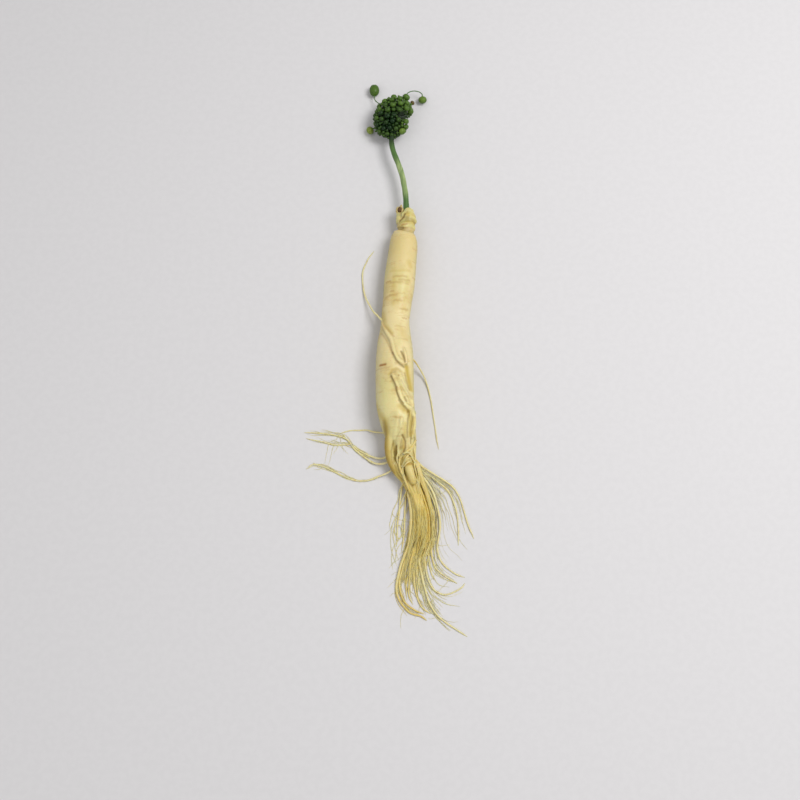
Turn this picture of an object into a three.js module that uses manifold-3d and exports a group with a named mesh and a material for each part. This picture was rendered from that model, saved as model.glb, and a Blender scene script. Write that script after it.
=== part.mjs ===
// A fresh ginseng root with its fruit stalk and a cluster of green berries, lying on a flat surface.
// Millimetres, +Z up. Seen from above, +Y runs from the tips of the rootlets to the berries and +X is
// to the right. The origin is on the surface, under the middle of the whole plant.
import * as THREE from "three";
import { mergeVertices } from "three/addons/utils/BufferGeometryUtils.js";
import Module from "manifold-3d";

const wasm = await Module();
wasm.setup();

// ---- Driving dimensions, in millimetres ----

const REST_DEPTH = 0.35; // how deep the heavy underside is pressed flat
const GAP = 0.3; // clearance between pieces that touch
const FLOAT = 0.1; // rootlets lie this far clear of the surface
const SLIVER = 0.02; // edges shorter than this are closed up after the joins
const CREST = 1.2; // the most that a side root stands proud of the taproot that it hugs

// The taproot, from the shoulder under the neck down to the tail: y, x of the middle, radius.
const TAPROOT = [
  [57.3, 8.5, 4.4], [55.9, 8.3, 5.6], [53.2, 7.8, 6.7], [47.3, 7.5, 7.3], [31, 5.9, 7.8], [20, 4.8, 7.5],
  [9.5, 3.7, 7.2], [1.4, 3.5, 8], [-6.7, 3.4, 9], [-14.5, 3.3, 9.4], [-32.4, 3.5, 9.3], [-40, 4.3, 9],
  [-47.3, 5.5, 8], [-54.6, 7.2, 5.8], [-61.9, 8.4, 4.4], [-69.1, 9.8, 3.3], [-75, 11, 2.2],
];

// The neck, knotted from the scars of earlier stems: x, y, z, radius.
const NECK = {
  knob: [
    [8.6, 68.3, 8.4, 2.3], [9.2, 67.2, 8.4, 3.6], [9.8, 65.3, 8.2, 4.4], [10.1, 63.2, 8, 4.3],
    [9.7, 61, 8, 4.1],
  ],
  bud: [
    [6.1, 68.5, 8.2, 1.4], [6.3, 67.3, 8.2, 2.1], [6.6, 65.2, 8, 2.6], [7.1, 63, 7.9, 3],
    [7.8, 61, 7.8, 3.3],
  ],
  band: [
    [9.2, 61.6, 8, 3.8], [9.2, 60.8, 8, 4.7], [9.2, 59.5, 8, 4.95], [9.1, 58.3, 7.8, 4.5],
    [8.8, 57.4, 7.6, 4.2], [8.5, 55.8, 7.4, 4.4],
  ],
};

// Legs, thick side roots and the broken stump: x, y, z, radius.
const LEGS = {
  left: [
    [3.8, -37, 12.6, 3.8], [3.1, -42.4, 14.1, 3.1], [2.4, -46.4, 12.9, 2.9], [1.5, -50, 11.2, 2.7],
    [0.8, -53.4, 9.6, 2.5], [0.6, -56.8, 8, 2.35], [1, -60, 6.8, 2.2], [2.2, -63.3, 5.7, 2.1],
    [4.4, -67.2, 4.7, 1.9], [8, -71.8, 3.6, 1.7], [11.2, -79, 2.8, 1.4], [12.8, -89, 2.1, 1.1],
    [12, -99, 1.5, 0.85], [9.8, -107, 1, 0.6],
  ],
  right: [
    [8.4, -38, 7, 4.4], [10.6, -46, 6.2, 3.2], [11.6, -54, 5.2, 2.5], [11.6, -61, 4.4, 2.1],
    [12.4, -68, 3.6, 1.9], [14.6, -77, 2.8, 1.5], [17.4, -87, 2.2, 1.2], [18, -97, 1.6, 0.9],
    [16.4, -107, 1, 0.6],
  ],
  upper: [
    [6.6, -40, 12.4, 3.6], [7.4, -48, 11.6, 2.8], [8, -55, 9.8, 2.2], [8.6, -61, 8, 1.8],
    [10, -67, 6.2, 1.4], [13.6, -78, 4.4, 1], [16, -90, 3.4, 0.8], [16.8, -100, 2.4, 0.6],
  ],
  lower: [
    [2.6, -61, 5.6, 1.2], [4.2, -65, 6.4, 1.2], [6.7, -69, 6.6, 1.15], [9.9, -73.3, 6.2, 1.1],
    [13.2, -81, 4.8, 0.9], [14.8, -91, 3.8, 0.7], [14, -102, 2.2, 0.55],
  ],
  outer: [
    [13.8, -62, 3.4, 1.5], [17, -72, 2.4, 1.2], [20.6, -83, 1.8, 1], [22, -94, 1.3, 0.8],
    [21.4, -103, 0.9, 0.5],
  ],
  stump: [[9.6, -63, 7.6, 1.2], [10.8, -67, 8.4, 1.7], [12.2, -71, 7.9, 1.6], [13.2, -74.2, 7.2, 1.2]],
};

// Side roots that hug the taproot: y, angle from the top towards +X in degrees, radius.
const HUGGING = {
  crest: [
    [-17.4, 31, 1.5], [-16, 26, 1.5], [-14.9, 13, 1.45], [-11.1, 0, 1.35], [-4.8, -10, 1.25],
    [0.2, -28, 1.1], [5, -52, 0.8], [8.5, -74, 0.6],
  ],
  spur: [[-17, 33, 1.5], [-13.2, 34, 1.3], [-9.6, 31, 0.9], [-7.4, 29, 0.45]],
  inner: [
    [-20.8, -7, 1], [-22.8, -4, 1.4], [-26.8, 5, 1.4], [-30.8, 13, 1.4], [-35, 21, 1.45],
    [-37.6, 35, 1.5], [-38.8, 56, 1.3], [-40.2, 80, 1],
  ],
  ridge: [
    [-19.5, 5, 1.4], [-21.7, 10, 2.3], [-26.6, 24, 1.8], [-30.3, 39, 1.3], [-33.8, 53, 1.2],
    [-37.4, 62, 1],
  ],
  drop: [[-38, 50, 1.3], [-41, 62, 1.25], [-45.7, 65, 1.15], [-48.5, 58, 1.05], [-52.4, 47, 1]],
  slip: [[-39.4, 46, 0.8], [-43, 42, 0.8], [-47.9, 34, 0.75], [-52.1, 29, 0.7]],
  sling: [
    [-42.6, 12, 0.7], [-44.4, 10, 1.1], [-48.5, 2, 1.1], [-53.2, -16, 1.05], [-57, -33, 1],
    [-61, -30, 0.9],
  ],
};

// Rootlets that lie on the surface or float in the bundle: radius at the root, radius at the tip, and
// the points x, y, height of the underside.
const ROOTLETS = [
  [0.85, 0.4, [[7, -66, 3.6], [9.2, -75, 2.8], [11, -84, 2.2], [11.3, -93, 1.8], [10.4, -101, 1.2],
    [8, -108, 0.7], [5.6, -115, 0.3], [4.1, -122, 0], [5.7, -129, 0], [10, -134, 0], [15, -136, 0],
    [18.5, -138.2, 0]]],
  [0.6, 0.35, [[9, -68, 1.8], [11.4, -78, 0.8], [13, -88, 0.3], [12.4, -98, 0.2], [9.6, -107, 0.1],
    [6.9, -115, 0], [5.7, -122, 0], [8, -129.4, 0], [13, -133.2, 0], [17.5, -135.4, 0]]],
  [0.6, 0.3, [[11, -70, 3], [13, -82, 2.8], [14.2, -92, 2.2], [13, -103, 1.2], [11, -112, 0.4],
    [10.4, -120, 0], [10.3, -126, 0], [12, -131, 0]]],
  [0.6, 0.3, [[12.6, -70, 1.2], [15.4, -82, 0.7], [16.4, -92, 0.5], [14.8, -102, 0.3], [12.8, -111, 0],
    [13, -121, 0], [14.4, -128, 0], [17, -132.6, 0], [20.4, -135, 0]]],
  [0.7, 0.35, [[14, -71, 3.4], [17, -83, 2.6], [18.3, -93, 2], [16.6, -103, 1.2], [15.4, -109, 0.6],
    [16.2, -116, 0.1], [17.6, -122, 0], [20, -130, 0], [24, -136, 0], [31, -141.6, 0], [38, -146, 0]]],
  [0.6, 0.3, [[12.6, -66, 2.6], [15.6, -74, 0.9], [18.6, -84, 0.3], [19.8, -93, 0.2], [18.6, -103, 0.1],
    [18, -111, 0], [19.2, -118, 0], [22, -123.5, 0], [26, -126, 0], [31, -125.4, 0], [35, -123, 0],
    [37.2, -120.8, 0]]],
  [0.6, 0.3, [[14.6, -68, 2.4], [19.6, -81, 1.8], [21.4, -91, 1.2], [21, -100, 0.6], [21, -107, 0.2],
    [23, -113, 0], [28, -118, 0], [33.4, -121, 0]]],
  [0.6, 0.3, [[14.4, -66, 2], [21.6, -76, 1.2], [24.6, -86, 0.5], [25, -95, 0.1], [24.2, -104, 0],
    [25.6, -110.5, 0], [31, -115.6, 0], [37, -117.8, 0]]],
  [0.55, 0.3, [[12.6, -60, 3.2], [17, -64.5, 2.2], [22.5, -68, 1.2], [28, -71, 0.4], [32.4, -74.6, 0],
    [35.4, -80, 0], [37.4, -87, 0], [39.4, -93.5, 0], [41.8, -99.4, 0]]],
  [0.5, 0.3, [[13, -63, 2], [19, -68, 1], [24.4, -71.5, 0.4], [29.4, -76.5, 0], [33, -83.5, 0],
    [34.2, -93, 0], [34.2, -103, 0]]],
  [0.5, 0.28, [[8.2, -70, 1.6], [6.6, -77, 0.7], [6, -84, 0.2], [5, -90, 0], [4.8, -97, 0],
    [4, -103, 0]]],
  [0.55, 0.3, [[3, -61, 4.6], [-1.4, -63, 2.4], [-6, -62.6, 0.8], [-11, -60, 0.2], [-16, -55.6, 0],
    [-20.4, -50.2, 0], [-26, -48, 0], [-34, -47, 0], [-42, -46.8, 0]]],
  [0.5, 0.28, [[2.4, -58, 6], [-2, -60.4, 2.6], [-8, -59.4, 0.6], [-14, -56, 0.1], [-19, -53, 0],
    [-26, -53, 0], [-34, -51, 0], [-40.6, -49.8, 0]]],
  [0.5, 0.28, [[3.4, -65.4, 3.8], [-1, -68, 1.8], [-5.6, -69.6, 0.6], [-11, -71.2, 0], [-16, -70.8, 0],
    [-21, -69, 0], [-26.4, -66.4, 0], [-32, -64, 0], [-37, -63.2, 0], [-40, -65, 0]]],
  [0.45, 0.25, [[0, -48.6, 6], [-4.6, -47.4, 2.6], [-8.6, -46.2, 0.8], [-13, -45.6, 0], [-19, -46, 0],
    [-24.4, -47, 0]]],
  [0.55, 0.25, [[-2.2, 7.6, 9.4], [-5.4, 12, 6.6], [-8.6, 17.2, 3.4], [-11.4, 24, 0.9], [-13.5, 32, 0],
    [-12.9, 39.6, 0], [-10.5, 45.4, 0], [-7.4, 50, 0]]],
  [0.45, 0.25, [[9.8, -8, 9], [14.4, -13, 4.8], [18.2, -18.6, 1.4], [20.8, -26, 0.1], [22.4, -36, 0],
    [24, -47, 0], [25, -55.4, 0]]],
  [0.5, 0.28, [[9.4, -70, 0.9], [11.2, -80, 0.2], [11.6, -92, 0.1], [10.8, -101, 0], [9.3, -109, 0],
    [8.5, -116, 0], [8.7, -123, 0]]],
  [0.55, 0.3, [[12, -72, 4.2], [14.4, -80, 3.6], [15.6, -90, 2.8], [15.4, -99, 1.8], [14.2, -107, 0.8],
    [13.8, -114, 0.1], [15.4, -122, 0]]],
  [0.5, 0.28, [[13.2, -70, 4], [17, -79, 3.2], [20, -89, 2.2], [20.2, -98, 1], [19.4, -106, 0.2],
    [20.2, -113, 0], [22.4, -119.4, 0]]],
  [0.5, 0.28, [[9.8, -71, 1.4], [8.8, -79, 0.4], [8.4, -88, 0], [8.2, -97, 0], [6.5, -106, 0]]],
];

// The fruit stalk, up to the point that all the pedicels start from: x, y, z, radius.
const STALK = [
  [9.2, 67, 8, 1.55], [9.2, 71, 8, 1.55], [8.9, 77.7, 8, 1.5], [8, 84.2, 8, 1.46], [7, 89.4, 8, 1.46],
  [5, 96, 8, 1.44], [2.6, 102.7, 8, 1.4], [1.5, 109.3, 8, 1.38], [2.2, 119, 8, 1.4],
];
const UMBEL = new THREE.Vector3(2.4, 121.6, 8); // where the pedicels start
const RECEPTACLE_RADIUS = 2.2;
const PEDICEL_RADIUS = 0.32;
const PEDICEL_BULGE = 0.5; // how far a bent pedicel may curve outside the points of its route

// The cluster is a flattened shell of berries around the umbel.
const CLUSTER = new THREE.Vector3(2.2, 122.8, 8);
const CLUSTER_REACH = new THREE.Vector3(9, 11.3, 5.2); // to the middles of the outermost berries
const CLUSTER_TURN = THREE.MathUtils.degToRad(-24); // about Z, of the shell's long way away from +Y
const CLUSTER_STRAY = 1.03; // how far out of the shell a berry may be pushed, as a share of its reach
const CLUSTER_BERRIES = 50;
const CLUSTER_SKIRT = 0.66; // how much of the shell's lower half bears berries
const CLUSTER_FLATTEN = 1.2; // crowds the berries towards the shell's rim
const GOLDEN_ANGLE = Math.PI * (3 - Math.sqrt(5)); // from one berry to the next
const UP = new THREE.Vector3(0, 0, 1);
const BERRY_RADIUS = 1.65;
const BERRY_SPREAD = 0.14; // the small ones are this much smaller, the large ones this much larger
const BERRY_FLATTEN = 0.9; // length along the pedicel over width
const BERRY_GIRTH = 1.04; // width across one way over width across the other
// The bay that the cluster leaves open on its +X side: the tip and both sides, and half their width.
const BAY_TIP = [6.8, 122.2];
const BAY_SIDES = [[16, 122.4], [16, 118.4]];
const BAY_WIDTH = 1.9;
const SETTLE_ROUNDS = 600; // steps in which the berries push each other apart
const HOMING_ROUNDS = 300; // steps in which they are also drawn back to where they started
const HOMING = 0.08; // the share of the way back in one step

// Outer berries, placed one by one: x, y, z, radius.
const OUTER_BERRIES = [
  [11.6, 126, 9, 1.8], [9.3, 134.1, 9, 1.95], [7.1, 113.8, 9.5, 1.85], [9.2, 117.2, 8, 1.5],
  [12.6, 131.3, 8, 1.2],
];
// Stray berries on pedicels of their own: x, y, z, radius, length over width, route of the pedicel.
const STRAY_BERRIES = [
  {
    station: [-7.8, 141.9, 2.8, 2.55], flatten: 1.35,
    route: [[-2.6, 130, 7], [-6, 133.8, 4], [-7.7, 136.6, 2.9]],
  },
  {
    station: [18.1, 136.3, 2.5, 2.2], flatten: BERRY_FLATTEN,
    route: [
      [5.6, 128, 6.2], [7.9, 133.6, 5.4], [9.8, 138, 6], [12.9, 139.7, 5.8], [16.2, 139.8, 4.8],
      [17.9, 138.9, 3.8],
    ],
  },
  { station: [-10, 118.2, 2.4, 2.1], flatten: BERRY_FLATTEN, route: [[-4, 120.4, 5]] },
];

// ---- Materials ----

const skin = (color, roughness) => new THREE.MeshStandardMaterial({ color, roughness, metalness: 0 });
const ROOT_SKIN = skin(0xd6c996, 0.55);
const STALK_SKIN = skin(0x7a9466, 0.4);
const BERRY_SKINS = { inner: skin(0x2f4a2a, 0.3), outer: skin(0x5f7b3f, 0.3) };

// ---- Shapes ----

const point = ([x, y, z]) => new THREE.Vector3(x, y, z);

// A closed geometry as a solid that can be joined and cut.
function solid(geometry) {
  geometry.deleteAttribute("uv");
  geometry.deleteAttribute("normal");
  const { attributes, index } = mergeVertices(geometry, 1e-4);
  const vertProperties = attributes.position.array;
  const triVerts = new Uint32Array(index.array);
  return new wasm.Manifold(new wasm.Mesh({ numProp: 3, vertProperties, triVerts }));
}

// The solid's faces as a geometry.
function geometryOf(shape) {
  const { vertProperties, triVerts } = shape.getMesh();
  const geometry = new THREE.BufferGeometry();
  geometry.setAttribute("position", new THREE.BufferAttribute(vertProperties, 3));
  geometry.setIndex(new THREE.BufferAttribute(triVerts, 1));
  geometry.computeVertexNormals();
  return geometry;
}

// A round limb along a smooth line through the stations x, y, z, radius, closed at both ends.
function limb(stations, sides, steps) {
  const line = new THREE.CatmullRomCurve3(stations.map(point));
  const girth = new THREE.SplineCurve(stations.map((station, i) => new THREE.Vector2(i, station[3])));
  const rings = [];
  const side = new THREE.Vector3(1, 0, 0);
  for (let i = 0; i <= steps; i++) {
    const t = i / steps;
    const along = line.getTangent(t);
    if (i === 0 && Math.abs(along.x) > 0.9) side.set(0, 1, 0);
    side.addScaledVector(along, -side.dot(along)).normalize();
    const over = new THREE.Vector3().crossVectors(along, side);
    rings.push({ centre: line.getPoint(t), side: side.clone(), over, radius: girth.getPoint(t).y });
  }
  const shape = new THREE.CylinderGeometry(1, 1, 1, sides, steps);
  const corner = new THREE.Vector3();
  const place = shape.attributes.position;
  for (let i = 0; i < place.count; i++) {
    const ring = rings[Math.round((0.5 - place.getY(i)) * steps)];
    corner.copy(ring.centre);
    corner.addScaledVector(ring.side, place.getX(i) * ring.radius);
    corner.addScaledVector(ring.over, place.getZ(i) * ring.radius);
    place.setXYZ(i, corner.x, corner.y, corner.z);
  }
  return solid(shape);
}

const join = (shapes) => shapes.reduce((whole, shape) => whole.add(shape));

// The middle and radius of the taproot at a distance y along it.
function taprootAt(y) {
  const next = Math.max(1, TAPROOT.findIndex((station) => station[0] <= y));
  const [above, below] = [TAPROOT[next - 1], TAPROOT[next]];
  const share = (above[0] - y) / (above[0] - below[0]);
  const x = THREE.MathUtils.lerp(above[1], below[1], share);
  const radius = THREE.MathUtils.lerp(above[2], below[2], share);
  return { x, z: radius - REST_DEPTH, radius };
}

// A station of a side root that lies at least half sunk in the taproot.
function hugging([y, degrees, radius]) {
  const core = taprootAt(y);
  const angle = THREE.MathUtils.degToRad(degrees);
  const reach = core.radius - Math.max(0, radius - CREST);
  return [core.x + reach * Math.sin(angle), y, core.z + reach * Math.cos(angle), radius];
}

// A rootlet, whose points give the height of its underside.
function rootlet([thick, thin, points]) {
  const stations = points.map(([x, y, under], i) => {
    const radius = THREE.MathUtils.lerp(thick, thin, i / (points.length - 1));
    return [x, y, under + radius + FLOAT, radius];
  });
  return limb(stations, 5, Math.round(points.length * 1.4));
}

// ---- The root ----

function rootShape() {
  const taproot = limb(TAPROOT.map(([y, x, radius]) => [x, y, radius - REST_DEPTH, radius]), 22, 32);
  const neck = Object.values(NECK).map((stations) => limb(stations, 14, stations.length + 5));
  const legs = Object.values(LEGS).map((stations) => limb(stations, 8, stations.length + 5));
  const sideRoots = Object.values(HUGGING).map((stations) => stations.map(hugging));
  const sides = sideRoots.map((stations) => limb(stations, 7, stations.length + 3));
  const surface = new THREE.BoxGeometry(200, 400, 20).translate(0, 0, -10);
  const socket = limb(STALK.slice(0, 3).map(([x, y, z, r]) => [x, y - GAP, z, r + GAP]), 10, 3);
  const heavy = join([taproot, ...neck, ...legs, ...sides]).subtract(solid(surface)).subtract(socket);
  return join([heavy, ...ROOTLETS.map(rootlet)]);
}

// ---- The berries ----

// The direction of berry i of count, spread evenly over a flattened shell that is open underneath.
function spread(i, count) {
  const share = THREE.MathUtils.lerp(1, -CLUSTER_SKIRT, (i + 0.5) / count);
  const height = Math.sign(share) * (1 - (1 - Math.abs(share)) ** CLUSTER_FLATTEN);
  const turn = GOLDEN_ANGLE * i;
  const across = Math.sqrt(1 - height * height);
  return new THREE.Vector3(across * Math.cos(turn), across * Math.sin(turn), height);
}

// Where the berries start from, before they settle.
function firstPlaces() {
  const rim = OUTER_BERRIES.map((station) => ({ station, flatten: BERRY_FLATTEN, route: [] }));
  const berries = [...rim, ...STRAY_BERRIES].map(({ station, flatten, route }) => {
    const at = point(station);
    return { at, radius: station[3], flatten, route: route.map(point), outer: true, fixed: true };
  });
  for (let i = 0; i < CLUSTER_BERRIES; i++) {
    const at = spread(i, CLUSTER_BERRIES).multiply(CLUSTER_REACH);
    at.applyAxisAngle(UP, CLUSTER_TURN).add(CLUSTER);
    const radius = BERRY_RADIUS * (1 + BERRY_SPREAD * Math.sin(GOLDEN_ANGLE * i));
    berries.push({ at, home: at.clone(), radius, flatten: BERRY_FLATTEN, route: [] });
  }
  return berries;
}

// How far a point has to move to clear the line from a to b by the distance given.
function clearOf(place, a, b, distance) {
  const nearest = new THREE.Line3(a, b).closestPointToPoint(place, true, new THREE.Vector3());
  const away = place.clone().sub(nearest);
  const lack = distance - away.length();
  return lack > 0 ? away.setLength(lack) : away.set(0, 0, 0);
}

// How far a place has to move sideways to clear one side of the bay by the distance given.
function clearOfBay(place, side, distance) {
  const [tip, end] = [BAY_TIP, side].map(([x, y]) => new THREE.Vector3(x, y, place.z));
  return clearOf(place, tip, end, distance);
}

// Moves a place that lies outside the cluster's shell back to it.
function drawIntoShell(place) {
  const share = place.clone().sub(CLUSTER).applyAxisAngle(UP, -CLUSTER_TURN).divide(CLUSTER_REACH);
  const excess = share.length() / CLUSTER_STRAY;
  if (excess > 1) place.sub(CLUSTER).divideScalar(excess).add(CLUSTER);
}

// Pushes the berries apart until none touches another berry, the stalk or another's pedicel.
function settle(berries) {
  const stalkLine = [point(STALK.at(-3)), point(STALK.at(-1))];
  for (let round = 0; round < SETTLE_ROUNDS; round++) {
    for (const berry of berries) {
      if (berry.fixed) continue;
      const girth = BERRY_GIRTH * berry.radius + SLIVER;
      if (round < HOMING_ROUNDS) {
        berry.at.lerp(berry.home, HOMING);
        for (const side of BAY_SIDES) berry.at.add(clearOfBay(berry.at, side, BAY_WIDTH + girth));
        drawIntoShell(berry.at);
      }
      for (const other of berries) {
        if (other === berry) continue;
        const room = girth + BERRY_GIRTH * other.radius + GAP;
        berry.at.add(clearOf(berry.at, other.at, other.at, room).multiplyScalar(0.5));
        const line = [UMBEL, ...other.route, other.at];
        const lane = girth + PEDICEL_RADIUS + GAP + (other.route.length > 0 ? PEDICEL_BULGE : 0);
        for (let k = 1; k < line.length; k++) {
          berry.at.add(clearOf(berry.at, line[k - 1], line[k], lane));
        }
      }
      berry.at.add(clearOf(berry.at, ...stalkLine, girth + STALK.at(-2)[3] + 2 * GAP));
      berry.at.z = Math.max(berry.at.z, girth + FLOAT);
    }
  }
  return berries;
}

// A berry, flattened along its pedicel.
function berryMesh(berry, name) {
  const shape = new THREE.SphereGeometry(berry.radius, 8, 5).scale(BERRY_GIRTH, berry.flatten, 1);
  const mesh = new THREE.Mesh(shape, berry.outer ? BERRY_SKINS.outer : BERRY_SKINS.inner);
  mesh.name = name;
  mesh.position.copy(berry.at);
  const outward = berry.at.clone().sub(pedicelFoot(berry)).normalize();
  mesh.quaternion.setFromUnitVectors(new THREE.Vector3(0, 1, 0), outward);
  return mesh;
}

// ---- The stalk and its pedicels ----

const pedicelFoot = (berry) => berry.route.at(-1) ?? UMBEL;

function pedicel(berry) {
  const foot = pedicelFoot(berry);
  const way = berry.at.clone().sub(foot).normalize();
  const end = berry.at.clone().addScaledVector(way, -(berry.flatten * berry.radius + GAP));
  const places = [UMBEL, ...berry.route, end];
  const stations = places.map((place) => [...place.toArray(), PEDICEL_RADIUS]);
  return limb(stations, 5, stations.length > 2 ? 2 * stations.length + 2 : 1);
}

function stalkShape(berries) {
  const receptacle = new THREE.SphereGeometry(RECEPTACLE_RADIUS, 10, 7).translate(...UMBEL.toArray());
  return join([limb(STALK, 10, 22), solid(receptacle), ...berries.map(pedicel)]);
}

// ---- The plant ----

// The outer body of a solid, with its shortest edges closed up and the pockets inside it filled.
function outerBody(name, shape) {
  const bodies = shape.simplify(SLIVER).decompose().filter((body) => body.volume() > 0);
  if (bodies.length !== 1) throw new Error(`${name} falls into ${bodies.length} separate bodies`);
  return bodies[0];
}

function piece(name, shape, material) {
  const mesh = new THREE.Mesh(geometryOf(outerBody(name, shape)), material);
  mesh.name = name;
  return mesh;
}

const berries = settle(firstPlaces());
const plant = new THREE.Group();
plant.name = "ginseng_plant";
plant.add(piece("ginseng_root", rootShape(), ROOT_SKIN));
plant.add(piece("fruit_stalk", stalkShape(berries), STALK_SKIN));
berries.forEach((berry, i) => plant.add(berryMesh(berry, `berry_${String(i + 1).padStart(2, "0")}`)));

export default plant;
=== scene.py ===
"""Dresses a fresh ginseng root with its fruit stalk and berries, and sets the studio that shows it."""

import logging
import math
import random
from collections.abc import Sequence
from dataclasses import dataclass
from enum import Enum

import bmesh
import bpy
import numpy as np
from mathutils import Matrix, Vector, noise
from mathutils.bvhtree import BVHTree


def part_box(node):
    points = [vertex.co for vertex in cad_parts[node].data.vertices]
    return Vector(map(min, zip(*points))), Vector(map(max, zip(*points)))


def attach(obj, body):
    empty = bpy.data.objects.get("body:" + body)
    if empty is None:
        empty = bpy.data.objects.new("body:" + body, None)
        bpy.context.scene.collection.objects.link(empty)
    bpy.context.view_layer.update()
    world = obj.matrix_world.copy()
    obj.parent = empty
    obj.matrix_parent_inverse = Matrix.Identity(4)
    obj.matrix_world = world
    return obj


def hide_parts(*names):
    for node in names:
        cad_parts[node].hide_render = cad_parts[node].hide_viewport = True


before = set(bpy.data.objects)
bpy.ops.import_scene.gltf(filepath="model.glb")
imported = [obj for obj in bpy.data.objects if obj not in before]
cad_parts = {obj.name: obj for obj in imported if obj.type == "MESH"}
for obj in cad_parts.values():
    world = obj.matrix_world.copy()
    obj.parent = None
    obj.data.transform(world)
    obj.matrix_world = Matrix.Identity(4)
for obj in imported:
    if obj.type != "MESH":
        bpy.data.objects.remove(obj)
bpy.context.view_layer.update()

LOG = logging.getLogger("ginseng")
MM = 0.001  # the sizes below are in millimetres, and the scene is in metres
BODY = "root"  # the one body that every piece rides on
GAP = 0.05  # how far a free rootlet stays clear of what it lies on
REST_DEPTH = 0.35  # how deep the heavy underside is pressed flat
GOLDEN_ANGLE = math.pi * (3 - math.sqrt(5))  # spreads things evenly, without repeats
TIP_SECTION = 0.06  # the area of a rounded tip's last ring, over that of the full section
MIX_COLOURS = (6, 7)  # the sockets of a Mix node that take its two colours
MIX_RESULT = 2  # and the one that gives the mixed colour

Station = tuple[float, float, float, float]  # x, y, z, radius
Place = tuple[float, float, float]  # x, y, z
Range = tuple[float, float]  # where something starts and ends, or its least and its most
Settings = dict[str | int, object]  # values of a node's properties and sockets
Links = dict[str | int, bpy.types.NodeSocket]  # what feeds a node's sockets


# ---- Lines, sweeps and meshes ----


def glide(stations: list[tuple[float, ...]] | np.ndarray, steps: int) -> np.ndarray:
    """Samples a smooth line through stations.

    Args:
        stations: rows of one length, such as x, y, z and radius.
        steps: how many stretches the line is cut into.

    Returns:
        steps + 1 rows, evenly spaced in station number.
    """
    knots = np.array([stations[0], *stations, stations[-1]], float)
    knots[0] = 2 * knots[1] - knots[2]
    knots[-1] = 2 * knots[-2] - knots[-3]
    reach = np.linspace(0, len(stations) - 1, steps + 1)
    first = np.minimum(reach.astype(int), len(stations) - 2)
    share = (reach - first)[:, None]
    a, b, c, d = (knots[first + i] for i in range(4))
    slope = (c - a) * share
    curve = (2 * a - 5 * b + 4 * c - d) * share**2
    twist = (3 * b - a - 3 * c + d) * share**3
    return 0.5 * (2 * b + slope + curve + twist)


def blunt(rows: np.ndarray) -> np.ndarray:
    """Rounds off both ends of a swept line.

    Args:
        rows: x, y, z and radius of each ring.

    Returns:
        The same rows, with smaller radii near the ends.
    """
    steps = np.linalg.norm(np.diff(rows[:, :3], axis=0), axis=1)
    along = np.concatenate([[0.0], np.cumsum(steps)])
    to_end = np.minimum(along, along[-1] - along) / rows[:, 3]
    section = 1 - (1 - np.clip(to_end, 0, 1)) ** 2
    rounded = rows.copy()
    rounded[:, 3] *= np.sqrt(np.clip(section, TIP_SECTION, 1))
    return rounded


def tube(rows: np.ndarray, sides: int) -> bpy.types.Mesh:
    """Sweeps a round section along a line and closes both ends.

    Args:
        rows: x, y, z and radius of each ring, in millimetres.
        sides: how many sides the section has.

    Returns:
        The closed tube, in metres, its corners in ring order.
    """
    centres = [Vector(row[:3]) * MM for row in rows]
    side = Vector((1, 0, 0))
    places = []
    for i, centre in enumerate(centres):
        ahead = (centres[min(i + 1, len(centres) - 1)] - centres[max(i - 1, 0)]).normalized()
        starts_along_x = i == 0 and abs(ahead.x) > 0.9
        if starts_along_x:
            side = Vector((0, 0, 1))
        side = (side - ahead * side.dot(ahead)).normalized()
        turn = Matrix((side, ahead.cross(side), ahead)).transposed().to_4x4()
        places.append(Matrix.Translation(centre) @ turn @ Matrix.Scale(rows[i][3] * MM, 4))
    bm = bmesh.new()
    bmesh.ops.create_circle(bm, segments=sides, radius=1, matrix=places[0])
    rim = bm.edges[:]
    for here, there in zip(places, places[1:]):
        grown = bmesh.ops.extrude_edge_only(bm, edges=rim)["geom"]
        corners = [part for part in grown if isinstance(part, bmesh.types.BMVert)]
        rim = [part for part in grown if isinstance(part, bmesh.types.BMEdge)]
        bmesh.ops.transform(bm, matrix=there @ here.inverted(), verts=corners)
    bmesh.ops.holes_fill(bm, edges=bm.edges[:], sides=sides)
    bmesh.ops.recalc_face_normals(bm, faces=bm.faces[:])
    return made_mesh("tube", bm)


def made_mesh(name: str, bm: bmesh.types.BMesh) -> bpy.types.Mesh:
    """Turns a bmesh into a mesh and frees it.

    Args:
        name: the mesh's name.
        bm: the shape, which can't be used afterwards.

    Returns:
        The new mesh.
    """
    mesh = bpy.data.meshes.new(name)
    bm.to_mesh(mesh)
    bm.free()
    return mesh


def merged(name: str, meshes: list[bpy.types.Mesh]) -> bpy.types.Mesh:
    """Puts several meshes into one, in order, and drops the parts.

    Args:
        name: the new mesh's name.
        meshes: the parts, which can't be used afterwards.

    Returns:
        The new mesh.
    """
    bm = bmesh.new()
    for mesh in meshes:
        bm.from_mesh(mesh)
        bpy.data.meshes.remove(mesh)
    return made_mesh(name, bm)


def corners_of(mesh: bpy.types.Mesh) -> tuple[np.ndarray, np.ndarray]:
    """Reads where a mesh's corners are and which way they face.

    Args:
        mesh: the mesh.

    Returns:
        Rows of x, y, z in millimetres, and rows of normals.
    """
    places = np.empty(len(mesh.vertices) * 3)
    normals = np.empty(len(mesh.vertices) * 3)
    mesh.vertices.foreach_get("co", places)
    mesh.vertices.foreach_get("normal", normals)
    return places.reshape(-1, 3) / MM, normals.reshape(-1, 3)


def move_corners(mesh: bpy.types.Mesh, places: np.ndarray) -> None:
    """Gives a mesh's corners new places, in millimetres."""
    mesh.vertices.foreach_set("co", (places * MM).ravel())
    mesh.update()


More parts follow.
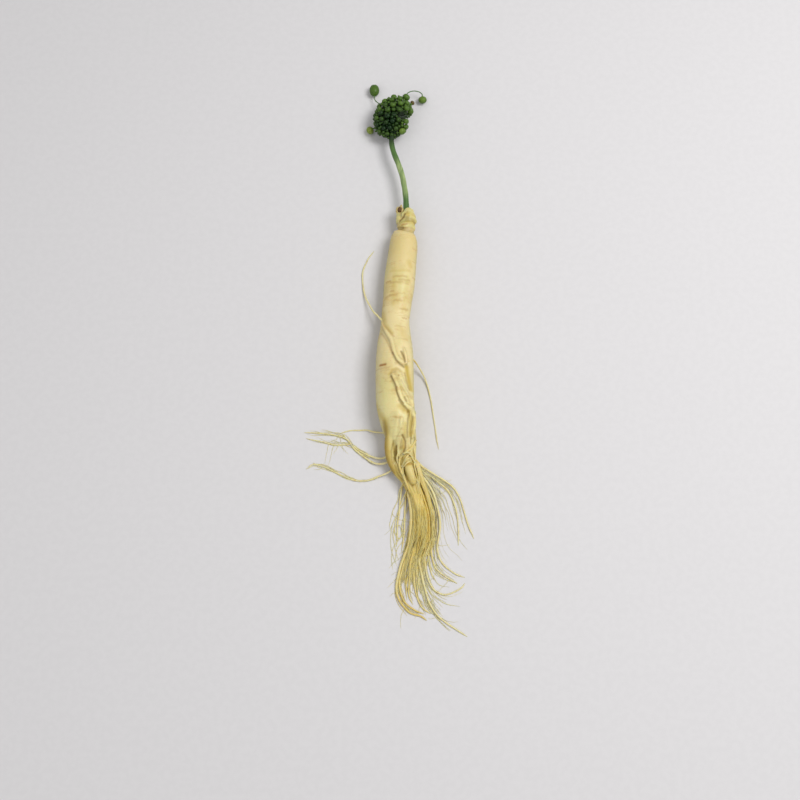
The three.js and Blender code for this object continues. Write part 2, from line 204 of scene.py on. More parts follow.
def paint(mesh: bpy.types.Mesh, name: str, values: np.ndarray) -> None:
    """Stores one number a corner in a mesh, for its finish to read."""
    layer = mesh.attributes.new(name, "FLOAT", "POINT")
    layer.data.foreach_set("value", np.asarray(values, np.float32))


def grain(places: np.ndarray, size: Place, seed: float) -> np.ndarray:
    """Reads smooth noise at each place.

    Args:
        places: rows of x, y, z.
        size: the length of one ripple along x, y and z.
        seed: moves the whole pattern, so that two layers differ.

    Returns:
        One number a place, from about -1 to 1.
    """
    scaled = places / np.array(size) + seed
    return np.array([noise.noise(Vector(row)) for row in scaled])


def ramp(values: np.ndarray | float, start: float, end: float) -> np.ndarray:
    """Returns 0 where a value is at start, 1 where it is at end, and is held at both."""
    return np.clip((values - start) / (end - start), 0, 1)


def eased(share: np.ndarray) -> np.ndarray:
    """Clips a share to 0 to 1 and rounds both ends of its ramp."""
    held = np.clip(share, 0, 1)
    return held * held * (3 - 2 * held)


def taut(heights: np.ndarray, rounds: int) -> np.ndarray:
    """Lifts what sags below the middle of its neighbours.

    Args:
        heights: one height, or one row of them, for each place along a line.
        rounds: how often all of them are lifted.

    Returns:
        The lifted heights.
    """
    lifted = heights.copy()
    for _ in range(rounds):
        lifted[1:-1] = np.maximum(lifted[1:-1], (lifted[:-2] + lifted[2:]) / 2)
    return lifted


def to_line(places: np.ndarray, route: np.ndarray) -> np.ndarray:
    """Measures how far each place is from a bent line.

    Args:
        places: rows of x, y, z.
        route: the line's bends, as rows of x, y or of x, y, z.

    Returns:
        One distance a place, in as many dimensions as the line has.
    """
    here = places[:, : route.shape[1]]
    nearest = np.linalg.norm(here - route[0], axis=1)
    for a, b in zip(route, route[1:]):
        along = np.clip((here - a) @ (b - a) / ((b - a) @ (b - a)), 0, 1)
        nearest = np.minimum(nearest, np.linalg.norm(here - a - along[:, None] * (b - a), axis=1))
    return nearest


def smoothed(mesh: bpy.types.Mesh, rounds: int) -> np.ndarray:
    """Returns where a mesh's corners come to lie when each moves to the middle of its neighbours.

    Args:
        mesh: the surface, which is left alone.
        rounds: how often every corner moves.

    Returns:
        Rows of x, y, z in millimetres.
    """
    soft, _ = corners_of(mesh)
    ends = np.empty(len(mesh.edges) * 2, int)
    mesh.edges.foreach_get("vertices", ends)
    ends = ends.reshape(-1, 2)
    here = np.concatenate([ends[:, 0], ends[:, 1]])
    there = np.concatenate([ends[:, 1], ends[:, 0]])
    count = np.bincount(here, minlength=len(soft))
    for _ in range(rounds):
        sums = [np.bincount(here, soft[there, axis], len(soft)) for axis in range(3)]
        soft = np.stack(sums, axis=1) / count[:, None]
    return soft


def cavity(mesh: bpy.types.Mesh, rounds: int) -> np.ndarray:
    """Measures how far each corner lies below the surface that so many rounds of smoothing give."""
    places, normals = corners_of(mesh)
    return ((smoothed(mesh, rounds) - places) * normals).sum(1)


def make_piece(
    name: str,
    mesh: bpy.types.Mesh,
    finish: bpy.types.Material,
    stands_for: tuple[str, ...] = (),
) -> bpy.types.Object:
    """Adds a mesh to the scene as a smooth piece of the plant.

    Args:
        name: the piece's name.
        mesh: its shape, in its place.
        finish: its material.
        stands_for: the solids that it replaces.

    Returns:
        The new object.
    """
    mesh.name = name
    mesh.materials.append(finish)
    mesh.polygons.foreach_set("use_smooth", [True] * len(mesh.polygons))
    made = bpy.data.objects.new(name, mesh)
    bpy.context.scene.collection.objects.link(made)
    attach(made, BODY)
    if stands_for:
        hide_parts(*stands_for)
    LOG.info("%s: %d faces", name, len(mesh.polygons))
    return made


# ---- Finishes ----


def linear(colour: str) -> tuple[float, float, float, float]:
    """Turns an sRGB colour into a linear one.

    Args:
        colour: its hex value, such as #d6c996.

    Returns:
        Linear red, green, blue and alpha.
    """
    parts = [int(colour[i : i + 2], 16) / 255 for i in (1, 3, 5)]
    red, green, blue = (v / 12.92 if v <= 0.04045 else ((v + 0.055) / 1.055) ** 2.4 for v in parts)
    return red, green, blue, 1.0


def add_node(
    tree: bpy.types.NodeTree,
    kind: str,
    settings: Settings | None = None,
    links: Links | None = None,
) -> bpy.types.Node:
    """Adds a shader node.

    Args:
        tree: the material's node tree.
        kind: the node's type, such as ShaderNodeTexNoise.
        settings: values of its properties by name, or of its sockets by name or number.
        links: what feeds its sockets, by name or number.

    Returns:
        The new node.
    """
    node = tree.nodes.new(kind)
    for name, value in (settings or {}).items():
        if isinstance(name, str) and hasattr(node, name):
            setattr(node, name, value)
        else:
            node.inputs[name].default_value = value
    for name, source in (links or {}).items():
        tree.links.new(source, node.inputs[name])
    return node


@dataclass
class Palette:
    """Builds one material's nodes: patterns sized in millimetres, and colours laid over each other."""

    name: str

    def __post_init__(self) -> None:
        """Starts an empty material that reads Object coordinates."""
        self.material = bpy.data.materials.new(self.name)
        self.material.use_nodes = True
        self.tree = self.material.node_tree
        self.tree.nodes.clear()
        self.where = add_node(self.tree, "ShaderNodeTexCoord").outputs["Object"]

    def noise(
        self, size: Place, detail: float = 2.0, low: float = 0.35, high: float = 0.65
    ) -> bpy.types.NodeSocket:
        """Makes a noise pattern.

        Args:
            size: the length of one ripple along x, y and z, in millimetres.
            detail: how many finer layers it has.
            low: the noise that becomes 0.
            high: the noise that becomes 1.

        Returns:
            A value from 0 to 1.
        """
        scale = tuple(1 / (length * MM) for length in size)
        spread = add_node(self.tree, "ShaderNodeMapping", {"Scale": scale}, {"Vector": self.where})
        links = {"Vector": spread.outputs["Vector"]}
        pattern = add_node(self.tree, "ShaderNodeTexNoise", {"Scale": 1.0, "Detail": detail}, links)
        return self.between(pattern.outputs["Fac"], low, high)

    def between(self, value: bpy.types.NodeSocket, low: float, high: float) -> bpy.types.NodeSocket:
        """Stretches a value so that low becomes 0 and high becomes 1, and holds it there."""
        settings = {"interpolation_type": "SMOOTHSTEP", "From Min": low, "From Max": high}
        return add_node(self.tree, "ShaderNodeMapRange", settings, {"Value": value}).outputs["Result"]

    def spanned(self, value: bpy.types.NodeSocket, low: float, high: float) -> bpy.types.NodeSocket:
        """Turns a value from 0 to 1 into one from low to high."""
        settings = {"To Min": low, "To Max": high}
        return add_node(self.tree, "ShaderNodeMapRange", settings, {"Value": value}).outputs["Result"]

    def along(self, axis: str, low: float, high: float) -> bpy.types.NodeSocket:
        """Makes a ramp from 0 to 1 between two places on an axis, in millimetres."""
        parts = add_node(self.tree, "ShaderNodeSeparateXYZ", links={"Vector": self.where})
        return self.between(parts.outputs[axis], low * MM, high * MM)

    def painted(self, name: str) -> bpy.types.NodeSocket:
        """Reads a number stored in the mesh."""
        return add_node(self.tree, "ShaderNodeAttribute", {"attribute_name": name}).outputs["Fac"]

    def times(
        self, value: bpy.types.NodeSocket, other: bpy.types.NodeSocket | float
    ) -> bpy.types.NodeSocket:
        """Multiplies two values.

        Args:
            value: the first.
            other: the second, which may be a constant.

        Returns:
            Their product.
        """
        node = add_node(self.tree, "ShaderNodeMath", {"operation": "MULTIPLY"}, {0: value})
        if isinstance(other, float):
            node.inputs[1].default_value = other
        else:
            self.tree.links.new(other, node.inputs[1])
        return node.outputs[0]

    def over(
        self,
        base: bpy.types.NodeSocket | str,
        colour: bpy.types.NodeSocket | str,
        share: bpy.types.NodeSocket,
    ) -> bpy.types.NodeSocket:
        """Lays a colour over another.

        Args:
            base: the lower colour, as a hex value or from another node.
            colour: the upper one, likewise.
            share: how much of the upper one shows, from 0 to 1.

        Returns:
            The mixed colour.
        """
        node = add_node(self.tree, "ShaderNodeMix", {"data_type": "RGBA"}, {0: share})
        for number, source in zip(MIX_COLOURS, (base, colour)):
            if isinstance(source, str):
                node.inputs[number].default_value = linear(source)
            else:
                self.tree.links.new(source, node.inputs[number])
        return node.outputs[MIX_RESULT]

    def bump(
        self, height: bpy.types.NodeSocket, depth: float, under: bpy.types.NodeSocket | None = None
    ) -> bpy.types.NodeSocket:
        """Turns a height into a bump.

        Args:
            height: the bump's height, from 0 to 1.
            depth: how many millimetres 1 stands for.
            under: another bump that this one lies on.

        Returns:
            The bumped normal.
        """
        links = {"Height": height}
        if under is not None:
            links["Normal"] = under
        settings = {"Strength": 1.0, "Distance": depth * MM}
        return add_node(self.tree, "ShaderNodeBump", settings, links).outputs["Normal"]

    def finish(
        self, colour: bpy.types.NodeSocket, settings: Settings, links: Links
    ) -> bpy.types.Material:
        """Closes the material with a Principled shader.

        Args:
            colour: the base colour.
            settings: constants for the shader's own sockets.
            links: what else feeds it, such as Normal and Roughness.

        Returns:
            The material.
        """
        feeds = {"Base Color": colour, **links}
        shader = add_node(self.tree, "ShaderNodeBsdfPrincipled", settings, feeds)
        add_node(self.tree, "ShaderNodeOutputMaterial", links={"Surface": shader.outputs["BSDF"]})
        return self.material


class Tint(Enum):
    """The colours laid on the root's skin: painted shade in creases, seams and hollows, ochre that is partly
    its own and partly painted shade, and rust; the value names the number that is painted on the mesh.
    """

    CREASE = "crease_shade"
    OCHRE_AND_SHADE = "ochre"
    RUST = "rust"


@dataclass(frozen=True)
class RootSkin:
    """Washed skin of a fresh root: thin cream cork, damp, with tan ring marks, and brown and ochre painted
    shade in its creases and hollows.
    """

    cream: str = "#e9d8a0"
    straw: str = "#dbc585"
    lime: str = "#dcd38f"
    sage: str = "#ece3a4"
    ochre: str = "#c6ab48"
    flank: str = "#b3aa62"
    crease_shade: str = "#80601f"
    rust: str = "#a2662a"
    ring_mark: str = "#c7a25c"
    neck_olive: str = "#d6d188"
    roughness: Range = (0.36, 0.54)
    # Where the colour changes along the root, as places along y.
    darkening: Range = (28, 46)
    darkest_until: Range = (57, 50)
    greening: Range = (-14, -40)
    yellowing: Range = (-50, -80)
    neck_edge: Range = (57, 59)

    def material(self) -> bpy.types.Material:
        """Builds the skin of the taproot, neck and legs.

        Returns:
            The material.
        """
        skin = Palette("fresh_root_skin")
        # Broad clouds of straw and faint green-yellow, as wide as a finger, keep the cream from being flat.
        colour = skin.over(self.cream, self.straw, skin.noise((11, 16, 11), 3, 0.38, 0.66))
        colour = skin.over(colour, self.lime, skin.times(skin.noise((9, 22, 9), 2, 0.45, 0.65), 0.6))
        # The skin is darker near the neck, greener below its middle, and yellows towards the forked end.
        under_neck = skin.times(skin.along("Y", *self.darkening), skin.along("Y", *self.darkest_until))
        colour = skin.over(colour, self.straw, skin.times(under_neck, 0.7))
        colour = skin.over(colour, self.sage, skin.times(skin.along("Y", *self.greening), 0.6))
        colour = skin.over(colour, self.ochre, skin.times(skin.along("Y", *self.yellowing), 0.75))
        # Painted shade: skin that faces sideways is laid over with a darker, greener olive, so the flanks are
        # duller than the upper side.
        colour = skin.over(colour, self.flank, skin.painted("flank"))
        # The neck is older, and olive where the sun reached it.
        colour = skin.over(colour, self.neck_olive, skin.times(skin.along("Y", *self.neck_edge), 0.75))
        # Tan lines run across the root where it grew in rings, in bands a few millimetres apart.
        bands = skin.noise((9, 9, 9), 1, 0.46, 0.6)
        rings = skin.noise((9, 0.8, 9), 2, 0.56, 0.72)
        colour = skin.over(colour, self.ring_mark, skin.times(skin.times(rings, bands), 0.36))
        # Tan blotches as long as a few rings, only where a wider cloud lets them show.
        blotches = skin.noise((5, 2.6, 5), 3, 0.52, 0.72)
        blush = skin.times(blotches, skin.noise((14, 12, 14), 1, 0.48, 0.62))
        colour = skin.over(colour, self.ring_mark, skin.times(blush, 0.5))
        # Pores, about half a millimetre wide.
        pores = skin.noise((0.9, 0.5, 0.9), 2, 0.64, 0.76)
        colour = skin.over(colour, self.ring_mark, skin.times(pores, 0.4))
        # Ochre is the skin's own in its clouds and scars, and painted shade in wide hollows and on shaded
        # flanks; the crease colour is painted shade in creases, seams and narrow hollows; rust marks spots
        # and scars.
        colour = skin.over(colour, self.ochre, skin.painted(Tint.OCHRE_AND_SHADE.value))
        colour = skin.over(colour, self.crease_shade, skin.painted(Tint.CREASE.value))
        colour = skin.over(colour, self.rust, skin.painted(Tint.RUST.value))
        wrinkles = skin.bump(skin.noise((4, 0.8, 4), 2, 0.3, 0.7), 0.05)
        surface = skin.bump(skin.noise((0.5, 0.35, 0.5), 2, 0.3, 0.7), 0.025, wrinkles)
        # Damp and dry patches differ in gloss.
        roughness = skin.spanned(skin.noise((5, 5, 5), 2, 0.3, 0.7), *self.roughness)
        settings = {
            "Subsurface Weight": 0.25,
            "Subsurface Radius": (1.0, 0.62, 0.28),
            "Subsurface Scale": 1.4 * MM,
            "IOR": 1.42,
            "Coat Weight": 0.12,
            "Coat Roughness": 0.25,
        }
        return skin.finish(colour, settings, {"Normal": surface, "Roughness": roughness})


@dataclass(frozen=True)
class RootletSkin:
    """Thin wet rootlets: golden where they are bundled, paler and half clear towards their tips."""

    golden: str = "#d9bf67"
    pale: str = "#e2d8a3"
    shade: str = "#b59541"

    def material(self) -> bpy.types.Material:
        """Builds the skin of the rootlets.

        Returns:
            The material.
        """
        skin = Palette("wet_rootlet_skin")
        colour = skin.over(self.golden, self.pale, skin.painted("pale"))
        # Uneven thickness lets more or less light through, every few millimetres of length.
        colour = skin.over(colour, self.shade, skin.times(skin.noise((1.4, 4.0, 1.4), 2, 0.5, 0.75), 0.35))
        surface = skin.bump(skin.noise((0.5, 0.6, 0.5), 2, 0.3, 0.7), 0.03)
        settings = {
            "Roughness": 0.42,
            "Subsurface Weight": 0.5,
            "Subsurface Radius": (1.0, 0.82, 0.46),
            "Subsurface Scale": 0.9 * MM,
            "IOR": 1.4,
            "Coat Weight": 0.1,
            "Coat Roughness": 0.25,
        }
        return skin.finish(colour, settings, {"Normal": surface})


@dataclass(frozen=True)
class StalkSkin:
    """Green herb stalk: waxy, finely ribbed along its length, blackish where berries shade it."""

    young: str = "#527437"
    old: str = "#a8ba7c"
    rib: str = "#405c2d"
    shaded: str = "#14260f"
    paler_from: Range = (74, 81)  # where its paler stretch begins, along y
    paler_until: Range = (100, 93)  # and where it ends

    def material(self) -> bpy.types.Material:
        """Builds the skin of the stalk and the pedicels.

        Returns:
            The material.
        """
        skin = Palette("waxy_stalk_skin")
        # Its middle stretch is paler, with patches as long as a fingertip.
        middle = skin.times(skin.along("Y", *self.paler_from), skin.along("Y", *self.paler_until))
        patches = skin.spanned(skin.noise((3, 9, 3), 2, 0.35, 0.65), 0.45, 1.0)
        colour = skin.over(self.young, self.old, skin.times(middle, patches))
        # Ribs half a millimetre apart run along the stalk and keep their own darker green.
        ribs = skin.noise((0.5, 11, 0.5), 2, 0.45, 0.7)
        colour = skin.over(colour, self.rib, skin.times(ribs, 0.5))
        colour = skin.over(colour, self.shaded, skin.painted("shaded"))
        settings = {
            "Roughness": 0.38,
            "Subsurface Weight": 0.15,
            "Subsurface Radius": (0.5, 1.0, 0.25),
            "Subsurface Scale": 1.0 * MM,
            "IOR": 1.42,
            "Coat Weight": 0.15,
            "Coat Roughness": 0.2,
        }
        return skin.finish(colour, settings, {"Normal": skin.bump(ribs, 0.05)})


@dataclass(frozen=True)
class BerrySkin:
    """Unripe berry skin: smooth and glossy, leaf green at the head's rim, and painted blackish green as shade
    deep in the head.
    """

    deep: str = "#112c0e"
    leaf: str = "#567529"
    pale: str = "#93a045"
    withered: str = "#6a4a2c"
    leafy: float = 0.7  # how sunlit a berry is that has the full leaf green

    def material(self) -> bpy.types.Material:
        """Builds the skin of the berries.

        Returns:
            The material.
        """
        skin = Palette("unripe_berry_skin")
        # Painted shade and light: berries deep in the head are painted blackish green, those at its rim leaf
        # green, and the yellowing ones paler.
        sunlit = skin.painted("sunlit")
        colour = skin.over(self.deep, self.leaf, skin.between(sunlit, 0.0, self.leafy))
        colour = skin.over(colour, self.pale, skin.between(sunlit, self.leafy, 1.0))
        # Cloudy darker patches, as wide as a third of a berry.
        colour = skin.over(colour, self.deep, skin.times(skin.noise((1.2, 1.2, 1.2), 3, 0.5, 0.75), 0.45))
        colour = skin.over(colour, self.withered, skin.painted("withered"))
        surface = skin.bump(skin.noise((0.7, 0.7, 0.7), 2, 0.3, 0.7), 0.03)
        settings = {
            "Roughness": 0.42,
            "IOR": 1.4,
            "Specular IOR Level": 0.3,
            "Coat Weight": 0.08,
            "Coat Roughness": 0.2,
        }
        return skin.finish(colour, settings, {"Normal": surface})


@dataclass(frozen=True)
class BudSkin:
    """Dry scales of the bud: papery, matt, straw-coloured with brown streaks along their length."""

    name: str = "dry_bud_scale"
    dark: str = "#8a6a38"
    light: str = "#cdb97c"

    def material(self) -> bpy.types.Material:
        """Builds the dry skin of the bud's scales.

        Returns:
            The material.
        """
        skin = Palette(self.name)
        colour = skin.over(self.dark, self.light, skin.noise((0.5, 1.6, 0.5), 3, 0.3, 0.5))
        surface = skin.bump(skin.noise((0.3, 1.2, 0.3), 2, 0.3, 0.7), 0.06)
        return skin.finish(colour, {"Roughness": 0.72, "IOR": 1.4}, {"Normal": surface})


# ---- The root ----

NEAR = 3.0  # how far from a limb its distance is still measured
FAR = 9.0  # the distance that stands for anything farther


@dataclass(frozen=True)
class Limb:
    """One swept limb of the root, before all of them are melted together."""

    rows: np.ndarray
    sides: int
    seam: float  # how deep the groove is where it meets its neighbours

    def gap(self, places: np.ndarray) -> np.ndarray:
        """Measures how far each place lies outside the limb.

        Args:
            places: rows of x, y, z.

        Returns:
            One distance a place, below 0 inside the limb, and FAR where it is nowhere near.
        """
        reach = self.rows[:, 3].max() + NEAR
        low, high = self.rows[:, :3].min(0) - reach, self.rows[:, :3].max(0) + reach
        near = np.flatnonzero(np.all((places > low) & (places < high), axis=1))
        here = places[near]
        least = np.full(len(near), FAR)
        for start, end in zip(self.rows, self.rows[1:]):
            way = end[:3] - start[:3]
            share = np.clip((here - start[:3]) @ way / (way @ way), 0, 1)
            apart = np.linalg.norm(here - start[:3] - share[:, None] * way, axis=1)
            least = np.minimum(least, apart - start[3] - share * (end[3] - start[3]))
        gaps = np.full(len(places), FAR)
        gaps[near] = least
        return gaps


@dataclass(frozen=True)
class Mark:
    """A groove, hollow, stain or stroke of painted shade on the skin, along a route of x, y or of x, y, z."""

    tint: Tint
    route: tuple[tuple[float, ...], ...]
    reach: float  # how far from the route it still acts
    depth: float
    strength: float  # of its tint, from 0 to 1

    def share(self, places: np.ndarray, normals: np.ndarray) -> np.ndarray:
        """Returns how strongly the mark acts at each place, from 0 to 1.

        Args:
            places: rows of x, y, z.
            normals: which way the skin faces there.

        Returns:
            One number a place. A route of x, y acts only where the skin faces up.
        """
        route = np.array(self.route, float)
        share = eased(1 - to_line(places, route) / self.reach)
        if route.shape[1] == 2:
            share *= np.clip(2.5 * normals[:, 2], 0, 1)
        return share


class Zone(Enum):
    """The stretches of the root that have their own relief."""

    NECK = "neck"
    TAPROOT = "taproot"
    LEGS = "legs"
    BELOW_NECK = "taproot and legs"


@dataclass(frozen=True)
class Ripple:
    """A layer of lumps, wrinkles or furrows on one zone of the root."""

    zone: Zone
    height: float
    size: Place  # the length of one ripple along x, y and z
    seed: float


@dataclass(frozen=True)
class Hollows:
    """Hollows of about one width, and how strongly painted shade darkens them."""

    rounds: int  # of smoothing that find them; wide ones need more
    depth: float  # of a hollow that is tinted in full
    elsewhere: float  # the strength outside their own zone
    in_zone: float  # the strength in it

    def tint(self, mesh: bpy.types.Mesh, zone: np.ndarray) -> np.ndarray:
        """Returns how strongly painted shade tints each corner, given how much each belongs to the zone."""
        strength = self.elsewhere + (self.in_zone - self.elsewhere) * zone
        return ramp(cavity(mesh, self.rounds), 0, self.depth) * strength


@dataclass
class Root:
    """The neck, taproot, legs and thick side roots, grown as one."""

    voxel: float = 0.36
    softening: int = 6  # rounds of smoothing after the limbs are melted together
    seam_width: float = 0.5
    crest: float = 1.2  # the most that a side root stands proud of the taproot
    shoulder: tuple[float, float] = (-0.5, -45)  # where the left leg leaves the taproot
    shoulder_reach: tuple[float, float] = (4.2, 8.5)
    shoulder_heights: Range = (3, 9)  # it is smoothed from the first height, and in full above the second
    shoulder_rounds: int = 70
    neck_edge: Range = (56.5, 58)  # the y over which the neck's relief takes over from the taproot's
    legs_edge: Range = (-36, -46)  # and the same for the legs
    ripples: tuple[Ripple, ...] = (
        Ripple(Zone.BELOW_NECK, 0.3, (9, 13, 9), 3.0),  # broad lumps
        Ripple(Zone.TAPROOT, 0.07, (6, 1.2, 6), 8.0),  # ring wrinkles
        Ripple(Zone.TAPROOT, 0.04, (2.4, 0.7, 2.4), 21.0),  # finer ones between them
        Ripple(Zone.LEGS, 0.12, (1.6, 9, 1.6), 14.0),  # furrows along the legs
        Ripple(Zone.NECK, 0.42, (3.2, 1.6, 3.2), 5.0),  # knots
        Ripple(Zone.NECK, 0.1, (0.9, 0.7, 0.9), 9.0),  # and their corky grain
    )
    folds: Ripple = Ripple(Zone.NECK, 1.1, (4.5, 30, 4.5), 31.0)  # how far the neck's folds stray along it
    # What the finished skin is tinted with: painted shade on its flanks, in narrow and wide hollows and along
    # seams, and the neck's rust flecks.
    flank_shade: float = 0.55
    flank_facing: float = 0.75  # how much skin may face up before it counts as flank
    narrow_hollows: Hollows = Hollows(14, 0.3, 0.2, 0.5)
    wide_hollows: Hollows = Hollows(60, 0.6, 0.15, 0.6)
    seam_shade: float = 1.6  # for each millimetre of a seam's depth
    darkest: float = 0.95
    neck_flecks: float = 0.14
    # The taproot: y, x of the middle, radius.
    taproot: tuple[Place, ...] = (
        (57.3, 8.5, 4.4), (55.9, 8.3, 5.6), (53.2, 7.8, 6.7), (47.3, 7.5, 7.3), (31, 5.9, 7.8),
        (20, 4.8, 7.5), (9.5, 3.7, 7.2), (1.4, 3.5, 8), (-6.7, 3.4, 9), (-14.5, 3.3, 9.4),
        (-32.4, 3.5, 9.3), (-40, 4.3, 9), (-47.3, 5.5, 8), (-54.6, 7.2, 5.8), (-61.9, 8.4, 4.4),
        (-69.1, 9.8, 3.3), (-75, 11, 2.2),
    )
    # The knotted neck: the knob that bears the stalk, the bud beside it and the ring band under both.
    neck: tuple[tuple[Station, ...], ...] = (
        (
            (8.6, 68.3, 8.4, 2.3), (9.2, 67.2, 8.4, 3.6), (9.8, 65.3, 8.2, 4.4), (10.1, 63.2, 8, 4.3),
            (9.7, 61, 8, 4.1),
        ),
        (
            (6.1, 68.5, 8.2, 1.4), (6.3, 67.3, 8.2, 2.1), (6.6, 65.2, 8, 2.6), (7.1, 63, 7.9, 3),
            (7.8, 61, 7.8, 3.3),
        ),
        (
            (9.2, 61.6, 8, 3.8), (9.2, 60.8, 8, 4.7), (9.2, 59.5, 8, 4.95), (9.1, 58.3, 7.8, 4.5),
            (8.8, 57.4, 7.6, 4.2), (8.5, 55.8, 7.4, 4.4),
        ),
    )
    # The legs: left, right, upper, lower and outer, and the broken stump.
    legs: tuple[tuple[Station, ...], ...] = (
        (
            (3.8, -37, 12.6, 3.8), (3.1, -42.4, 14.1, 3.1), (2.4, -46.4, 12.9, 2.9), (1.5, -50, 11.2, 2.7),
            (0.8, -53.4, 9.6, 2.5), (0.6, -56.8, 8, 2.35), (1, -60, 6.8, 2.2), (2.2, -63.3, 5.7, 2.1),
            (4.4, -67.2, 4.7, 1.9), (8, -71.8, 3.6, 1.7), (11.2, -79, 2.8, 1.4), (12.8, -89, 2.1, 1.1),
            (12, -99, 1.5, 0.85), (9.8, -107, 1, 0.6),
        ),
        (
            (8.4, -38, 7, 4.4), (10.6, -46, 6.2, 3.2), (11.6, -54, 5.2, 2.5), (11.6, -61, 4.4, 2.1),
            (12.4, -68, 3.6, 1.9), (14.6, -77, 2.8, 1.5), (17.4, -87, 2.2, 1.2), (18, -97, 1.6, 0.9),
            (16.4, -107, 1, 0.6),
        ),
        (
            (6.6, -40, 12.4, 3.6), (7.4, -48, 11.6, 2.8), (8, -55, 9.8, 2.2), (8.6, -61, 8, 1.8),
            (10, -67, 6.2, 1.4), (13.6, -78, 4.4, 1), (16, -90, 3.4, 0.8), (16.8, -100, 2.4, 0.6),
        ),
        (
            (2.6, -61, 5.6, 1.2), (4.2, -65, 6.4, 1.2), (6.7, -69, 6.6, 1.15), (9.9, -73.3, 6.2, 1.1),
            (13.2, -81, 4.8, 0.9), (14.8, -91, 3.8, 0.7), (14, -102, 2.2, 0.55),
        ),
        (
            (13.8, -62, 3.4, 1.5), (17, -72, 2.4, 1.2), (20.6, -83, 1.8, 1), (22, -94, 1.3, 0.8),
            (21.4, -103, 0.9, 0.5),
        ),
        ((9.4, -63, 7.6, 1.5), (10.5, -67, 8.1, 2.2), (11.8, -71, 7.6, 2.05), (12.8, -74.4, 6.9, 1.5)),
    )
